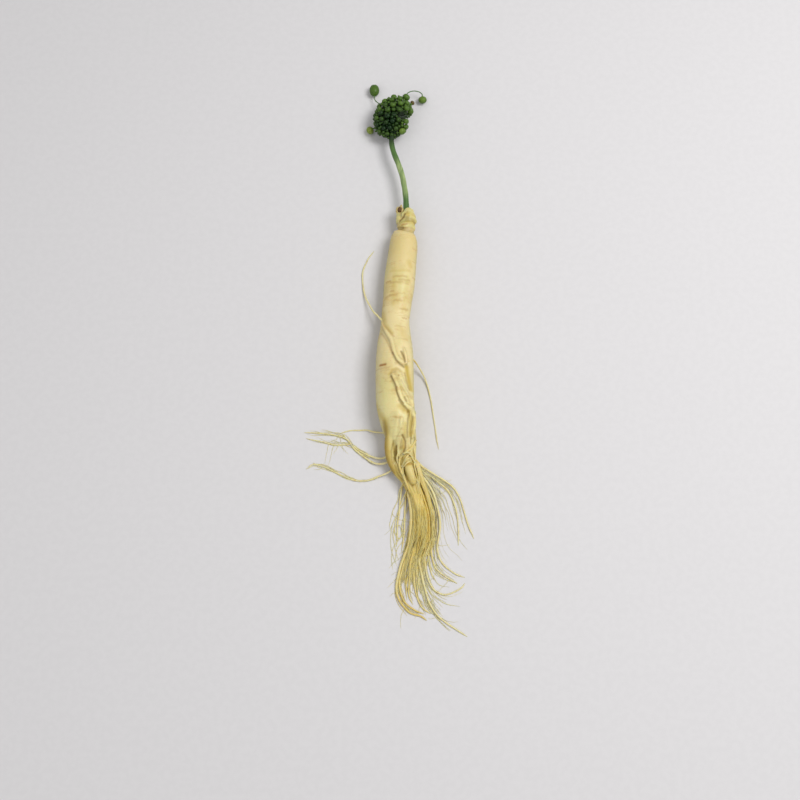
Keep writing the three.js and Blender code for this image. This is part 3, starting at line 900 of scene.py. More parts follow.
    # Side roots that hug the taproot: y, angle from the top towards +X in degrees, radius.
    hugging: tuple[tuple[Place, ...], ...] = (
        (
            (-17.4, 31, 1.5), (-16, 26, 1.5), (-14.9, 13, 1.45), (-11.1, 0, 1.35), (-4.8, -10, 1.25),
            (0.2, -28, 1.1), (5, -52, 0.8), (8.5, -74, 0.6),
        ),
        ((-17, 33, 1.5), (-13.2, 34, 1.3), (-9.6, 31, 0.9), (-7.4, 29, 0.45)),
        (
            (-20.8, -7, 1), (-22.8, -4, 1.4), (-26.8, 5, 1.4), (-30.8, 13, 1.4), (-35, 21, 1.45),
            (-37.6, 35, 1.5), (-38.8, 56, 1.3), (-40.2, 80, 1),
        ),
        (
            (-19.5, 5, 1.4), (-21.7, 10, 2.3), (-26.6, 24, 1.8), (-30.3, 39, 1.3), (-33.8, 53, 1.2),
            (-37.4, 62, 1),
        ),
        ((-38, 50, 1.3), (-41, 62, 1.25), (-45.7, 65, 1.15), (-48.5, 58, 1.05), (-52.4, 47, 1)),
        ((-39.4, 46, 0.8), (-43, 42, 0.8), (-47.9, 34, 0.75), (-52.1, 29, 0.7)),
        (
            (-42.6, 12, 0.7), (-44.4, 10, 1.1), (-48.5, 2, 1.1), (-53.2, -16, 1.05), (-57, -33, 1),
            (-61, -30, 0.9),
        ),
    )
    marks_on_top: tuple[Mark, ...] = (
        # Rust lines and painted shade beside the crest root and its spur, and painted shade in the olive
        # valley below them.
        Mark(Tint.RUST, ((-3, 0.5), (-0.5, -4.5), (1.5, -9.5), (2.6, -12)), 0.8, 0.06, 0.34),
        Mark(Tint.CREASE, ((2.2, -11), (4, -15), (6, -17), (8, -18)), 0.8, 0.14, 0.6),
        Mark(Tint.RUST, ((-2.5, 5.5), (0.5, 1.5), (3, -2)), 0.8, 0.05, 0.3),
        Mark(Tint.OCHRE_AND_SHADE, ((-1, 4.5), (2, 0)), 1.8, 0.0, 0.5),
        Mark(Tint.CREASE, ((6.7, -10), (7.5, -12), (8.6, -15.5)), 0.9, 0.25, 0.75),
        Mark(Tint.OCHRE_AND_SHADE, ((9.3, -17.5), (9.6, -21), (10.5, -25.5), (11.3, -28.5)), 1.8, 0.1, 0.95),
        # Clouds of golden skin on the taproot.
        Mark(Tint.OCHRE_AND_SHADE, ((3, 29), (2.6, 23), (2.8, 16.5)), 2.4, 0.0, 0.4),
        Mark(Tint.OCHRE_AND_SHADE, ((10.5, 38.5), (11.5, 36)), 2.2, 0.0, 0.35),
        Mark(Tint.OCHRE_AND_SHADE, ((1.5, 33.4), (6, 33), (10.5, 33.6)), 1.3, 0.0, 0.3),
        Mark(Tint.OCHRE_AND_SHADE, ((-2.4, 12), (-1.4, 3)), 2.2, 0.0, 0.4),
        # Painted shade, in brown and ochre, round the ridge and along both sides of the inner root.
        Mark(Tint.OCHRE_AND_SHADE, ((0.4, -22), (2.2, -19.5), (4, -18.7), (6.3, -19.7), (8, -21)), 0.9, 0.06, 0.4),
        Mark(
            Tint.CREASE,
            ((1.5, -23), (3.6, -27.3), (4.5, -31.5), (5.7, -34.5), (7.5, -36.5)),
            0.75, 0.18, 0.7,
        ),
        Mark(Tint.CREASE, ((6.6, -25), (7.7, -27), (10.5, -31.6), (11.5, -33.5)), 0.8, 0.1, 0.35),
        Mark(Tint.CREASE, ((8.3, -21), (9, -24.5), (10.5, -29)), 0.8, 0.12, 0.4),
        Mark(Tint.CREASE, ((8.4, -33), (9.2, -34.8)), 0.9, 0.25, 0.6),
        Mark(Tint.CREASE, ((5.3, -34.8), (7, -37), (9, -38.8), (10.5, -40.3)), 0.8, 0.14, 0.5),
        Mark(Tint.CREASE, ((10.1, -40.2),), 1.1, 0.35, 0.8),
        Mark(Tint.OCHRE_AND_SHADE, ((10.1, -40.2),), 2.4, 0.0, 0.95),
        Mark(Tint.OCHRE_AND_SHADE, ((10.4, -40), (11.2, -44), (11.2, -51)), 1.7, 0.0, 0.8),
        Mark(Tint.OCHRE_AND_SHADE, ((8.6, -46), (8.2, -52)), 1.8, 0.0, 0.5),
        Mark(Tint.OCHRE_AND_SHADE, ((12.2, -43), (12.2, -50)), 1.6, 0.0, 0.7),
        Mark(Tint.OCHRE_AND_SHADE, ((6, -37.6), (7.8, -39.4)), 2.6, 0.15, 0.8),
        # Painted shade between the thin roots on the right, down to the fork.
        Mark(Tint.CREASE, ((10.3, -41), (9.8, -44), (9.5, -49), (9.6, -52.3)), 0.6, 0.25, 0.6),
        Mark(Tint.CREASE, ((12.2, -42), (11.6, -47), (11.4, -50), (11.2, -54.5)), 0.6, 0.25, 0.6),
        Mark(Tint.CREASE, ((13.3, -51), (13.7, -54.5)), 1.0, 0.3, 0.6),
        # Painted shade in the hollows where the legs part, and along the seams below them.
        Mark(Tint.CREASE, ((7.2, -51.5), (8.8, -54), (8.7, -57), (7.7, -58.6)), 1.1, 0.5, 0.8),
        Mark(Tint.OCHRE_AND_SHADE, ((7.8, -54), (7.6, -57.5)), 1.6, 0.15, 0.7),
        Mark(Tint.CREASE, ((6.9, -53), (6.2, -55.6), (6, -57.5)), 0.7, 0.2, 0.4),
        Mark(Tint.CREASE, ((4, -56.2), (3.9, -59.4)), 1.1, 0.6, 0.85),
        Mark(Tint.CREASE, ((3, -61), (3.3, -63.3), (6, -67.5)), 0.8, 0.2, 0.45),
        Mark(
            Tint.CREASE,
            ((3, -53.6), (1.8, -58.7), (2.2, -63.3), (5.3, -67.5), (9.5, -72.4)),
            0.8, 0.15, 0.45,
        ),
        Mark(Tint.CREASE, ((6.7, -48.5), (4.3, -52.5), (3.6, -54.8)), 0.7, 0.1, 0.3),
        Mark(Tint.OCHRE_AND_SHADE, ((-2.3, -44.6), (-0.6, -48.2)), 1.6, 0.0, 0.4),
        Mark(Tint.OCHRE_AND_SHADE, ((8, -60), (6.5, -66), (8, -70)), 2.6, 0.0, 0.6),
        Mark(Tint.OCHRE_AND_SHADE, ((1, -61.5), (3.4, -66.5), (7, -71.5)), 2.0, 0.0, 0.75),
        # The stump, torn and orange at its upper end, with painted shade along its sides.
        Mark(Tint.OCHRE_AND_SHADE, ((9, -64.8), (10.3, -64.3), (11.8, -64)), 1.6, 0.1, 0.95),
        Mark(Tint.RUST, ((9.2, -64.6), (11.2, -64.2)), 1.1, 0.05, 0.45),
        Mark(Tint.CREASE, ((8, -65.8), (8.3, -68.4), (9.6, -73)), 0.6, 0.15, 0.4),
        Mark(Tint.CREASE, ((13.2, -67.4), (13.8, -70), (14.8, -71.8)), 0.6, 0.2, 0.5),
        # The shaded outer flank of the left leg.
        Mark(
            Tint.OCHRE_AND_SHADE,
            (
                (-4.4, -36, 10), (-0.6, -44, 13.6), (-0.5, -50, 12.4), (-0.7, -56.8, 9.8), (0.6, -63.3, 7),
                (3.3, -68, 5.8),
            ),
            3.6, 0.0, 0.9,
        ),
        Mark(
            Tint.CREASE,
            ((-0.8, -45, 13), (-0.9, -49, 11.8), (-1.2, -56.8, 8.8), (0.2, -63.3, 6.2), (2.7, -67.4, 5.2)),
            3.0, 0.0, 0.6,
        ),
        # Rust spots: a streak on the left and two scars of lost rootlets.
        Mark(Tint.RUST, ((-3.6, -16.6), (-2.4, -16.7), (-1.2, -16.6)), 1.05, 0.1, 0.95),
        Mark(Tint.RUST, ((5.3, -22.8),), 0.9, 0.2, 0.7),
        Mark(Tint.RUST, ((4.3, -28.6),), 0.9, 0.2, 0.7),
        # The neck: the dark bud, painted shade in the slanting groove, the orange flank, the band, and
        # painted shade in the crevice below.
        Mark(Tint.CREASE, ((5.9, 68.3),), 1.1, 0.4, 0.9),
        Mark(Tint.CREASE, ((5.4, 62.2), (6.5, 63), (7.6, 63.8), (8.3, 65.2)), 1.0, 0.6, 0.9),
        Mark(Tint.OCHRE_AND_SHADE, ((9.6, 65.1), (10.4, 64.6)), 2.2, 0.05, 0.7),
        Mark(Tint.RUST, ((9.6, 66.1),), 0.8, 0.15, 0.5),
        Mark(Tint.OCHRE_AND_SHADE, ((5, 60.5), (9.2, 60.9), (11, 60.7), (14, 61)), 0.9, 0.15, 0.7),
        Mark(Tint.OCHRE_AND_SHADE, ((4.6, 59), (8, 59.4), (13, 59.8)), 1.2, 0.0, 0.45),
        Mark(Tint.RUST, ((7, 58.9), (9.4, 59.3)), 0.9, 0.1, 0.6),
        Mark(Tint.RUST, ((4.8, 59.9),), 0.8, 0.1, 0.5),
        Mark(Tint.CREASE, ((3.9, 57.8), (5.4, 57.5), (7.4, 57.5)), 0.9, 0.3, 0.75),
        Mark(Tint.CREASE, ((7.4, 57.5), (10, 57.4), (13, 57.5)), 0.6, 0.15, 0.3),
    )

    # Ring scars placed one by one: y, angle from the top towards +X and span, both in degrees.
    wide_scars: tuple[Place, ...] = (
        (27.1, -11, 44), (28.4, 20, 40), (30.2, 1, 50), (17.7, 3, 30), (13.4, 32, 34),
    )
    thin_scars: tuple[Place, ...] = ((8.9, 42, 24), (28, -47, 22), (22.6, -24, 14))
    # And by chance, all round it: how many, and the ranges of what each is drawn from.
    chance_scars: int = 60
    scar_y: Range = (-38, 55)
    scar_span: Range = (10, 46)
    scar_reach: Range = (0.45, 0.8)
    scar_depth: Range = (0.04, 0.12)
    scar_strength: Range = (0.05, 0.26)

    def core(self, y: float) -> tuple[float, float, float]:
        """Looks up the taproot.

        Args:
            y: the distance along it.

        Returns:
            Its middle x, its middle z and its radius there.
        """
        rows = np.array(self.taproot)[::-1]
        x, radius = (float(np.interp(y, rows[:, 0], rows[:, column])) for column in (1, 2))
        return x, radius - REST_DEPTH, radius

    def on_skin(self, y: float, degrees: float, lift: float = 0.0) -> Place:
        """Finds a place on the taproot's skin.

        Args:
            y: the distance along it.
            degrees: the angle from its top towards +X.
            lift: how far above the skin the place is.

        Returns:
            The place.
        """
        x, z, radius = self.core(y)
        angle = math.radians(degrees)
        return x + (radius + lift) * math.sin(angle), y, z + (radius + lift) * math.cos(angle)

    def scar(self, y: float, degrees: float, span: float) -> tuple[Place, ...]:
        """Lays a slightly wavy arc across the taproot's skin.

        Args:
            y: the distance along it.
            degrees: the angle of the arc's middle, from the top towards +X.
            span: how many degrees it covers.

        Returns:
            The places that it runs through.
        """
        waves = [(0.2 * math.sin(2.1 * k + y), span * k / 6) for k in range(-3, 4)]
        return tuple(self.on_skin(y + wave, degrees + turn) for wave, turn in waves)

    def limbs(self) -> list[Limb]:
        """Samples every limb of the root.

        Returns:
            The taproot, the neck's lobes, the legs and the side roots that hug the taproot.
        """
        taproot = [(x, y, radius - REST_DEPTH, radius) for y, x, radius in self.taproot]
        made = [Limb(glide(taproot, 90), 40, 0.5)]
        made += [Limb(glide(lobe, 24), 28, 0.35) for lobe in self.neck]
        made += [Limb(blunt(glide(leg, 7 * len(leg))), 18, 0.16) for leg in self.legs]
        for side_root in self.hugging:
            stations = []
            for y, degrees, radius in side_root:
                stations.append((*self.on_skin(y, degrees, -max(0.0, radius - self.crest)), radius))
            made.append(Limb(blunt(glide(stations, 9 * len(stations))), 16, 0.14))
        return made

    def fused(self, limbs: list[Limb]) -> bpy.types.Mesh:
        """Melts the limbs into one skin, with its seams rounded.

        Args:
            limbs: the limbs, which overlap where they join.

        Returns:
            The closed skin.
        """
        tubes = merged("limbs", [tube(limb.rows, limb.sides) for limb in limbs])
        rough = bpy.data.objects.new("limbs", tubes)
        bpy.context.scene.collection.objects.link(rough)
        melt = rough.modifiers.new("melt", "REMESH")
        melt.mode = "VOXEL"
        melt.voxel_size = self.voxel * MM
        soften = rough.modifiers.new("soften", "SMOOTH")
        soften.factor = 0.5
        soften.iterations = self.softening
        melted = rough.evaluated_get(bpy.context.evaluated_depsgraph_get())
        skin = bpy.data.meshes.new_from_object(melted)
        bpy.data.objects.remove(rough)
        return skin

    def seams(self, places: np.ndarray, limbs: list[Limb]) -> np.ndarray:
        """Measures the grooves along which the limbs meet.

        Args:
            places: rows of x, y, z on the skin.
            limbs: what the skin was melted from.

        Returns:
            The groove's depth at each place.
        """
        gaps = np.array([limb.gap(places) for limb in limbs])
        depths = np.array([limb.seam for limb in limbs])
        order = np.argsort(gaps, axis=0)
        runner_up = np.take_along_axis(gaps, order[1:2], axis=0)[0]
        depth = np.minimum(depths[order[0]], depths[order[1]])
        return depth * np.exp(-((np.maximum(runner_up, 0) / self.seam_width) ** 2))

    def marks(self) -> list[Mark]:
        """Lists the marks on the skin.

        Returns:
            The marks on the upper side, and ring scars all round the taproot.
        """
        made = list(self.marks_on_top)
        for place in self.wide_scars:
            made.append(Mark(Tint.RUST, self.scar(*place), 0.9, 0.06, 0.28))
            made.append(Mark(Tint.OCHRE_AND_SHADE, self.scar(*place), 2.0, 0.0, 0.28))
        for place in self.thin_scars:
            made.append(Mark(Tint.RUST, self.scar(*place), 0.7, 0.1, 0.38))
        draw = random.Random(11)
        for _ in range(self.chance_scars):
            y, degrees = draw.uniform(*self.scar_y), draw.uniform(-180, 180)
            arc = self.scar(y, degrees, draw.uniform(*self.scar_span))
            reach, depth = draw.uniform(*self.scar_reach), draw.uniform(*self.scar_depth)
            made.append(Mark(Tint.RUST, arc, reach, depth, draw.uniform(*self.scar_strength)))
        return made

    def smooth_shoulder(self, mesh: bpy.types.Mesh) -> None:
        """Lets the left leg flow out of the taproot without a step.

        Args:
            mesh: the melted skin, which is changed.
        """
        places, _ = corners_of(mesh)
        off = (places[:, :2] - np.array(self.shoulder)) / np.array(self.shoulder_reach)
        blend = np.exp(-(off**2).sum(1)) * ramp(places[:, 2], *self.shoulder_heights)
        move_corners(mesh, places + blend[:, None] * (smoothed(mesh, self.shoulder_rounds) - places))

    def zones(self, y: np.ndarray) -> dict[Zone, np.ndarray]:
        """Splits the root into its zones.

        Args:
            y: the distance of each place along the root.

        Returns:
            How much each place belongs to each zone, from 0 to 1.
        """
        on_neck = ramp(y, *self.neck_edge)
        on_legs = ramp(y, *self.legs_edge)
        return {
            Zone.NECK: on_neck,
            Zone.LEGS: on_legs,
            Zone.TAPROOT: (1 - on_neck) * (1 - on_legs),
            Zone.BELOW_NECK: 1 - on_neck,
        }

    def relief(self, mesh: bpy.types.Mesh, limbs: list[Limb]) -> None:
        """Raises lumps, ring wrinkles and furrows, cuts the seams and marks, and flattens the underside.

        Args:
            mesh: the melted skin, which is changed and painted.
            limbs: what it was melted from.
        """
        places, normals = corners_of(mesh)
        # Painted shade: how far the skin faces sideways sets how much of the flanks' darker olive it gets.
        facing_out = ramp(normals[:, 2], self.flank_facing, 0)
        paint(mesh, "flank", self.flank_shade * eased(facing_out))
        zones = self.zones(places[:, 1])
        height = np.zeros(len(places))
        for ripple in self.ripples:
            height += zones[ripple.zone] * ripple.height * grain(places, ripple.size, ripple.seed)
        groove = self.seams(places, limbs)
        height -= groove
        tints = {tint: np.zeros(len(places)) for tint in Tint}
        for mark in self.marks():
            share = mark.share(places, normals)
            height -= share * mark.depth
            tints[mark.tint] = np.maximum(tints[mark.tint], share * mark.strength)
        stray = grain(places, self.folds.size, self.folds.seed)
        places[:, 1] += self.folds.height * zones[self.folds.zone] * stray
        places += normals * height[:, None]
        places[:, 2] = np.maximum(places[:, 2], 0)
        move_corners(mesh, places)
        # Painted shade darkens the seams and hollows, and the neck gets rust flecks.
        legs_or_neck = np.maximum(zones[Zone.LEGS], zones[Zone.NECK])
        seam = self.seam_shade * groove * (0.6 + 0.4 * grain(places, (3, 3, 3), 17.0))
        shade = np.maximum(self.narrow_hollows.tint(mesh, legs_or_neck), seam)
        tints[Tint.CREASE] = np.clip(np.maximum(tints[Tint.CREASE], shade), 0, self.darkest)
        # Painted shade: wide hollows, most of all on the legs, are laid over with ochre.
        golden = self.wide_hollows.tint(mesh, zones[Zone.LEGS])
        tints[Tint.OCHRE_AND_SHADE] = np.maximum(tints[Tint.OCHRE_AND_SHADE], golden)
        flecks = np.clip(grain(places, (1.5, 0.9, 1.5), 2.0) + 0.3, 0, 1)
        tints[Tint.RUST] = np.maximum(tints[Tint.RUST], self.neck_flecks * zones[Zone.NECK] * flecks)
        for tint, strength in tints.items():
            paint(mesh, tint.value, strength)

    def build(self) -> BVHTree:
        """Adds the root's skin to the scene.

        Returns:
            Its surface, for the rootlets to lie on.
        """
        limbs = self.limbs()
        mesh = self.fused(limbs)
        self.smooth_shoulder(mesh)
        self.relief(mesh, limbs)
        make_piece("root_skin", mesh, RootSkin().material(), ("ginseng_root",))
        bm = bmesh.new()
        bm.from_mesh(mesh)
        surface = BVHTree.FromBMesh(bm)
        bm.free()
        return surface


# ---- Rootlets ----

WELL_ABOVE = 60.0  # a height above every part of the root
TAPER = (0.8, 0.6, 0.3)  # the radius of a rootlet's last three rings, over what it would be
KNOTTINESS = 0.24  # how much a rootlet's radius varies along it, as a share
KNOT_PACE = 0.55  # how fast it varies from ring to ring, in ripples
BEND_PACE = 0.15  # and how fast its bends do


@dataclass(frozen=True)
class Ground:
    """What loose strands lie on: the root's skin, and the floor beside it."""

    skin: BVHTree
    slack: int = 10  # how readily a strand dips into the hollows below it

    def below(self, line: np.ndarray) -> np.ndarray:
        """Measures what a strand along a line rests on; it spans what is narrow and deep.

        Args:
            line: rows that start with x, y.

        Returns:
            The height under each row.
        """
        down = Vector((0, 0, -1))
        heights = np.zeros(len(line))
        for i, row in enumerate(line):
            hit = self.skin.ray_cast(Vector((row[0], row[1], WELL_ABOVE)) * MM, down)[0]
            heights[i] = max(0.0, hit.z / MM) if hit else 0.0
        return taut(heights, self.slack)


@dataclass(frozen=True)
class Strand:
    """A rootlet: its radius at the root and at the tip, and its route.

    The route's rows are x, y and the height of its underside, over the floor or, if it is draped, over
    what it lies on.
    """

    thick: float
    thin: float
    route: tuple[Place, ...]
    draped: bool = False
    golden_end: bool = False

    def rows(self, ground: Ground, draw: random.Random, wobble: float) -> np.ndarray:
        """Samples the rootlet, with small bends and thicker places along it.

        Args:
            ground: what it lies on.
            draw: the source of its bends.
            wobble: how far it bends off its route.

        Returns:
            Rows of x, y, z and radius.
        """
        line = glide(self.route, 5 * len(self.route))
        share = np.linspace(0, 1, len(line))
        radius = self.thick + (self.thin - self.thick) * share
        seed = draw.uniform(0, 100)
        knots = np.array([noise.noise(Vector((seed, 0, KNOT_PACE * k))) for k in range(len(line))])
        radius = radius * (1 + KNOTTINESS * knots)
        radius[-len(TAPER) :] *= TAPER
        for axis in (0, 1):
            bends = [noise.noise(Vector((seed, 7 * axis + 3, BEND_PACE * k))) for k in range(len(line))]
            line[:, axis] += wobble * np.array(bends) * np.minimum(1, 4 * share)
        if self.draped:
            line[:, 2] += ground.below(line)
        line[:, 2] = np.maximum(line[:, 2], 0) + GAP + radius
        return np.column_stack([line, radius])


@dataclass
class Rootlets:
    """The long thin rootlets, the matted bundle that they run in, and the hairs on them."""

    ground: Ground
    main: tuple[Strand, ...] = (
        Strand(0.85, 0.4, (
            (7, -66, 3.6), (9.2, -75, 2.8), (11, -84, 2.2), (11.3, -93, 1.8), (10.4, -101, 1.2),
            (8, -108, 0.7), (5.6, -115, 0.3), (4.1, -122, 0), (5.7, -129, 0), (10, -134, 0), (15, -136, 0),
            (18.5, -138.2, 0),
        ), golden_end=True),
        Strand(0.6, 0.35, (
            (9, -68, 1.8), (11.4, -78, 0.8), (13, -88, 0.3), (12.4, -98, 0.2), (9.6, -107, 0.1),
            (6.9, -115, 0), (5.7, -122, 0), (8, -129.4, 0), (13, -133.2, 0), (17.5, -135.4, 0),
        ), golden_end=True),
        Strand(0.6, 0.3, (
            (11, -70, 3), (13, -82, 2.8), (14.2, -92, 2.2), (13, -103, 1.2), (11, -112, 0.4), (10.4, -120, 0),
            (10.3, -126, 0), (12, -131, 0),
        )),
        Strand(0.6, 0.3, (
            (12.6, -70, 1.2), (15.4, -82, 0.7), (16.4, -92, 0.5), (14.8, -102, 0.3), (12.8, -111, 0),
            (13, -121, 0), (14.4, -128, 0), (17, -132.6, 0), (20.4, -135, 0),
        )),
        Strand(0.7, 0.35, (
            (14, -71, 3.4), (17, -83, 2.6), (18.3, -93, 2), (16.6, -103, 1.2), (15.4, -109, 0.6),
            (16.2, -116, 0.1), (17.6, -122, 0), (20, -130, 0), (24, -136, 0), (31, -141.6, 0),
            (37.8, -145.6, 0),
        )),
        Strand(0.6, 0.3, (
            (12.6, -66, 2.6), (15.6, -74, 0.9), (18.6, -84, 0.3), (19.8, -93, 0.2), (18.6, -103, 0.1),
            (18, -111, 0), (19.2, -118, 0), (22, -123.5, 0), (26, -126, 0), (31, -125.4, 0), (35, -123, 0),
            (37.2, -120.8, 0),
        )),
        Strand(0.6, 0.3, (
            (14.6, -68, 2.4), (19.6, -81, 1.8), (21.4, -91, 1.2), (21, -100, 0.6), (21, -107, 0.2),
            (23, -113, 0), (28, -118, 0), (33.4, -121, 0),
        )),
        Strand(0.6, 0.3, (
            (14.4, -66, 2), (21.6, -76, 1.2), (24.6, -86, 0.5), (25, -95, 0.1), (24.2, -104, 0),
            (25.6, -110.5, 0), (31, -115.6, 0), (37, -117.8, 0),
        )),
        Strand(0.55, 0.3, (
            (12.6, -60, 3.2), (17, -64.5, 2.2), (22.5, -68, 1.2), (28, -71, 0.4), (32.4, -74.6, 0),
            (35.4, -80, 0), (37.4, -87, 0), (39.4, -93.5, 0), (41.4, -99.4, 0),
        )),
        Strand(0.5, 0.3, (
            (13, -63, 2), (19, -68, 1), (24.4, -71.5, 0.4), (29.4, -76.5, 0), (33, -83.5, 0), (34.2, -93, 0),
            (34.2, -103, 0),
        )),
        Strand(0.5, 0.28, (
            (8.2, -70, 1.6), (6.6, -77, 0.7), (6, -84, 0.2), (5, -90, 0), (4.8, -97, 0), (4, -103, 0),
        )),
        Strand(0.5, 0.28, (
            (9.4, -70, 0.9), (11.2, -80, 0.2), (11.6, -92, 0.1), (10.8, -101, 0), (9.3, -109, 0),
            (8.5, -116, 0), (8.7, -123, 0),
        )),
        Strand(0.55, 0.3, (
            (12, -72, 4.2), (14.4, -80, 3.6), (15.6, -90, 2.8), (15.4, -99, 1.8), (14.2, -107, 0.8),
            (13.8, -114, 0.1), (15.4, -122, 0),
        )),
        Strand(0.5, 0.28, (
            (13.2, -70, 4), (17, -79, 3.2), (20, -89, 2.2), (20.2, -98, 1), (19.4, -106, 0.2),
            (20.2, -113, 0), (22.4, -119.4, 0),
        )),
        Strand(0.5, 0.28, ((9.8, -71, 1.4), (8.8, -79, 0.4), (8.4, -88, 0), (8.2, -97, 0), (6.5, -106, 0))),
    )
    side: tuple[Strand, ...] = (
        Strand(0.55, 0.3, (
            (3, -61, 4.6), (-1.4, -63, 2.4), (-6, -62.6, 0.8), (-11, -60, 0.2), (-16, -55.6, 0),
            (-20.4, -50.2, 0), (-26, -48, 0), (-34, -47, 0), (-41.6, -46.8, 0),
        )),
        Strand(0.5, 0.28, (
            (2.4, -58, 6), (-2, -60.4, 2.6), (-8, -59.4, 0.6), (-14, -56, 0.1), (-19, -53, 0), (-26, -53, 0),
            (-34, -51, 0), (-40.6, -49.8, 0),
        )),
        Strand(0.5, 0.28, (
            (3.4, -65.4, 3.8), (-1, -68, 1.8), (-5.6, -69.6, 0.6), (-11, -71.2, 0), (-16, -70.8, 0),
            (-21, -69, 0), (-26.4, -66.4, 0), (-32, -64, 0), (-37, -63.2, 0), (-40, -65, 0),
        )),
        Strand(0.45, 0.25, (
            (0, -48.6, 6), (-4.6, -47.4, 2.6), (-8.6, -46.2, 0.8), (-13, -45.6, 0), (-19, -46, 0),
            (-24.4, -47, 0),
        )),
        Strand(0.55, 0.25, (
            (-2.2, 7.6, 9.4), (-5.4, 12, 6.6), (-8.6, 17.2, 3.4), (-11.4, 24, 0.9), (-13.5, 32, 0),
            (-12.9, 39.6, 0), (-10.5, 45.4, 0), (-7.4, 50, 0),
        )),
        Strand(0.45, 0.25, (
            (9.8, -8, 9), (14.4, -13, 4.8), (18.2, -18.6, 1.4), (20.8, -26, 0.1), (22.4, -36, 0),
            (24, -47, 0), (25, -55.4, 0),
        )),
    )
    # Thin rootlets that are slung over the legs, round the stump.
    crossing: tuple[Strand, ...] = (
        Strand(0.68, 0.5, (
            (13.6, -52, -1.5), (11.5, -56.6, 0), (8.8, -59.2, 0.3), (6.6, -60.8, 0), (5.6, -63.5, 0),
            (6.2, -67, 0), (8.4, -72, 0), (12, -80, 0.4),
        ), True),
        Strand(0.52, 0.38, (
            (5.6, -61, -1.1), (8.4, -59.6, 0.8), (10.6, -59.6, 0.6), (12.3, -61.8, 0.2), (14.2, -65, 0),
            (15.1, -69, 0), (15.6, -75, 0), (17, -84, 0.4),
        ), True),
        Strand(0.5, 0.36, (
            (10.9, -58.6, -1.1), (9.3, -61.2, 0.3), (8.1, -63.1, 0), (7.2, -65.5, 0), (7, -68, 0),
            (8.6, -73, 0.2), (11.4, -79, 0.6),
        ), True),
        Strand(0.45, 0.32, (
            (11.8, -60.6, -1), (9.6, -62.3, 0.4), (8.2, -64, 0), (7.6, -66.2, 0), (7.7, -69, 0),
            (9.6, -74, -0.5),
        ), True),
        Strand(0.42, 0.3, (
            (5.4, -58, -1), (4.6, -62, 0.2), (5.6, -64.6, 0.2), (7.6, -65.6, 0.2), (9.4, -64, 0.3),
            (11.4, -62.4, -0.9),
        ), True),
        Strand(0.42, 0.3, (
            (12.2, -55, -1), (13.4, -60, 0.1), (13, -64, 0.2), (13.8, -68, 0), (15.6, -74, 0),
            (18.4, -82, 0.4),
        ), True),
    )
    # Fine pale rootlets that stray out of the bundle on its left.
    stray: tuple[Strand, ...] = (
        Strand(0.24, 0.14, (
            (9.9, -75, -0.9), (6.4, -83, 0), (4, -90, 0), (3.4, -96, 0), (5, -99.4, 0.1), (7.2, -97.4, 0.5),
            (6.4, -93.6, 0.6), (4, -93.4, 0.5), (2.8, -98, 0), (3.6, -104, 0), (5.6, -110, 0),
        ), True),
        Strand(0.22, 0.12, (
            (9, -80, 0), (5.8, -86, 0), (3, -91, 0), (1.6, -98, 0), (2.2, -106, 0), (4.6, -112.6, 0),
        ), True),
        Strand(0.22, 0.12, (
            (10, -84, 0.3), (7.6, -91, 0.2), (6.6, -98, 0), (3.4, -103, 0), (1.8, -109, 0), (2.6, -114, 0),
        ), True),
        Strand(0.24, 0.12, (
            (8.8, -71.4, -0.9), (5.6, -76, 0), (4.6, -81, 0), (2.6, -86, 0), (1.2, -90, 0), (0.6, -95, 0),
        ), True),
        Strand(0.2, 0.12, (
            (9, -90, 0.2), (6.4, -95, 0.2), (7.4, -100, 0), (4.4, -105, 0), (3.6, -110, 0), (0.8, -114, 0),
        ), True),
    )
    # The matted core of the bundle: y, x of the middle, half its width.
    core: tuple[Place, ...] = (
        (-54, 8.4, 3.2), (-62, 9.6, 3.6), (-70, 12, 3.8), (-77, 14.4, 4.4), (-87, 17.2, 5.2),
        (-99, 16.6, 5.8), (-106, 14.6, 5.8), (-112, 12.4, 5.2), (-120, 10.4, 5.2), (-130, 11, 6),
        (-140, 16, 7),
    )
    # The wet layer under the core's strands: its first and last y, and how it is swept.
    pad_ends: Range = (-76.2, -112.0)
    pad_rings: int = 90
    pad_sides: int = 84
    pad_thickness: float = 0.7
    pad_grooves: float = 0.42  # how deep its grooves are
    pad_lift: float = 0.3  # how far its middle lies above what it rests on
    pad_opening: float = 0.14  # the share of its length over which it gets wide
    pad_closing: float = 0.5  # and over which it thins out at its end
    pad_rising: float = 0.24  # the share over which it comes out of the root's skin
    sunk: float = 0.9  # how deep the layer and its strands start in the root's skin
    # The core's fine strands: how many, where along y each starts and ends, its lift and its radius.
    matted: int = 190
    matted_start: Range = (-90, -76.5)
    matted_end: Range = (-124, -100)
    matted_lift: Range = (0.45, 1.35)
    matted_thick: Range = (0.14, 0.34)
    # Thicker locks, stuck together, that run on where the core ends.
    locks: int = 13
    lock_start: Range = (-98, -90)
    lock_end: Range = (-130, -114)
    lock_lift: float = 0.1
    lock_thick: Range = (0.4, 0.62)
    spread: float = 0.9  # how far from the core's middle strands start, over half its width
    drift: float = 0.45  # how far they stray across it, likewise
    # Loose strands beside the core, each a blend of a main strand and the next one.
    fringe: int = 108
    fringe_pairs: tuple[int, ...] = (0, 1, 2, 3, 3, 3, 4, 4, 5, 5, 6, 6, 7, 7, 8, 8)
    fringe_thick: Range = (0.13, 0.32)
    fringe_stray: float = 0.8
    veil_from: int = 7  # the first of the pairs on the far right, where strands are finer
    veil_fineness: float = 0.6  # their radius over that of the others
    veil_stray: float = 1.8
    stuck: int = 5  # fine strands that the damp sticks to each of a few long ones
    stuck_thick: Range = (0.12, 0.26)
    hairs: int = 150
    hair_length: Range = (3, 12)
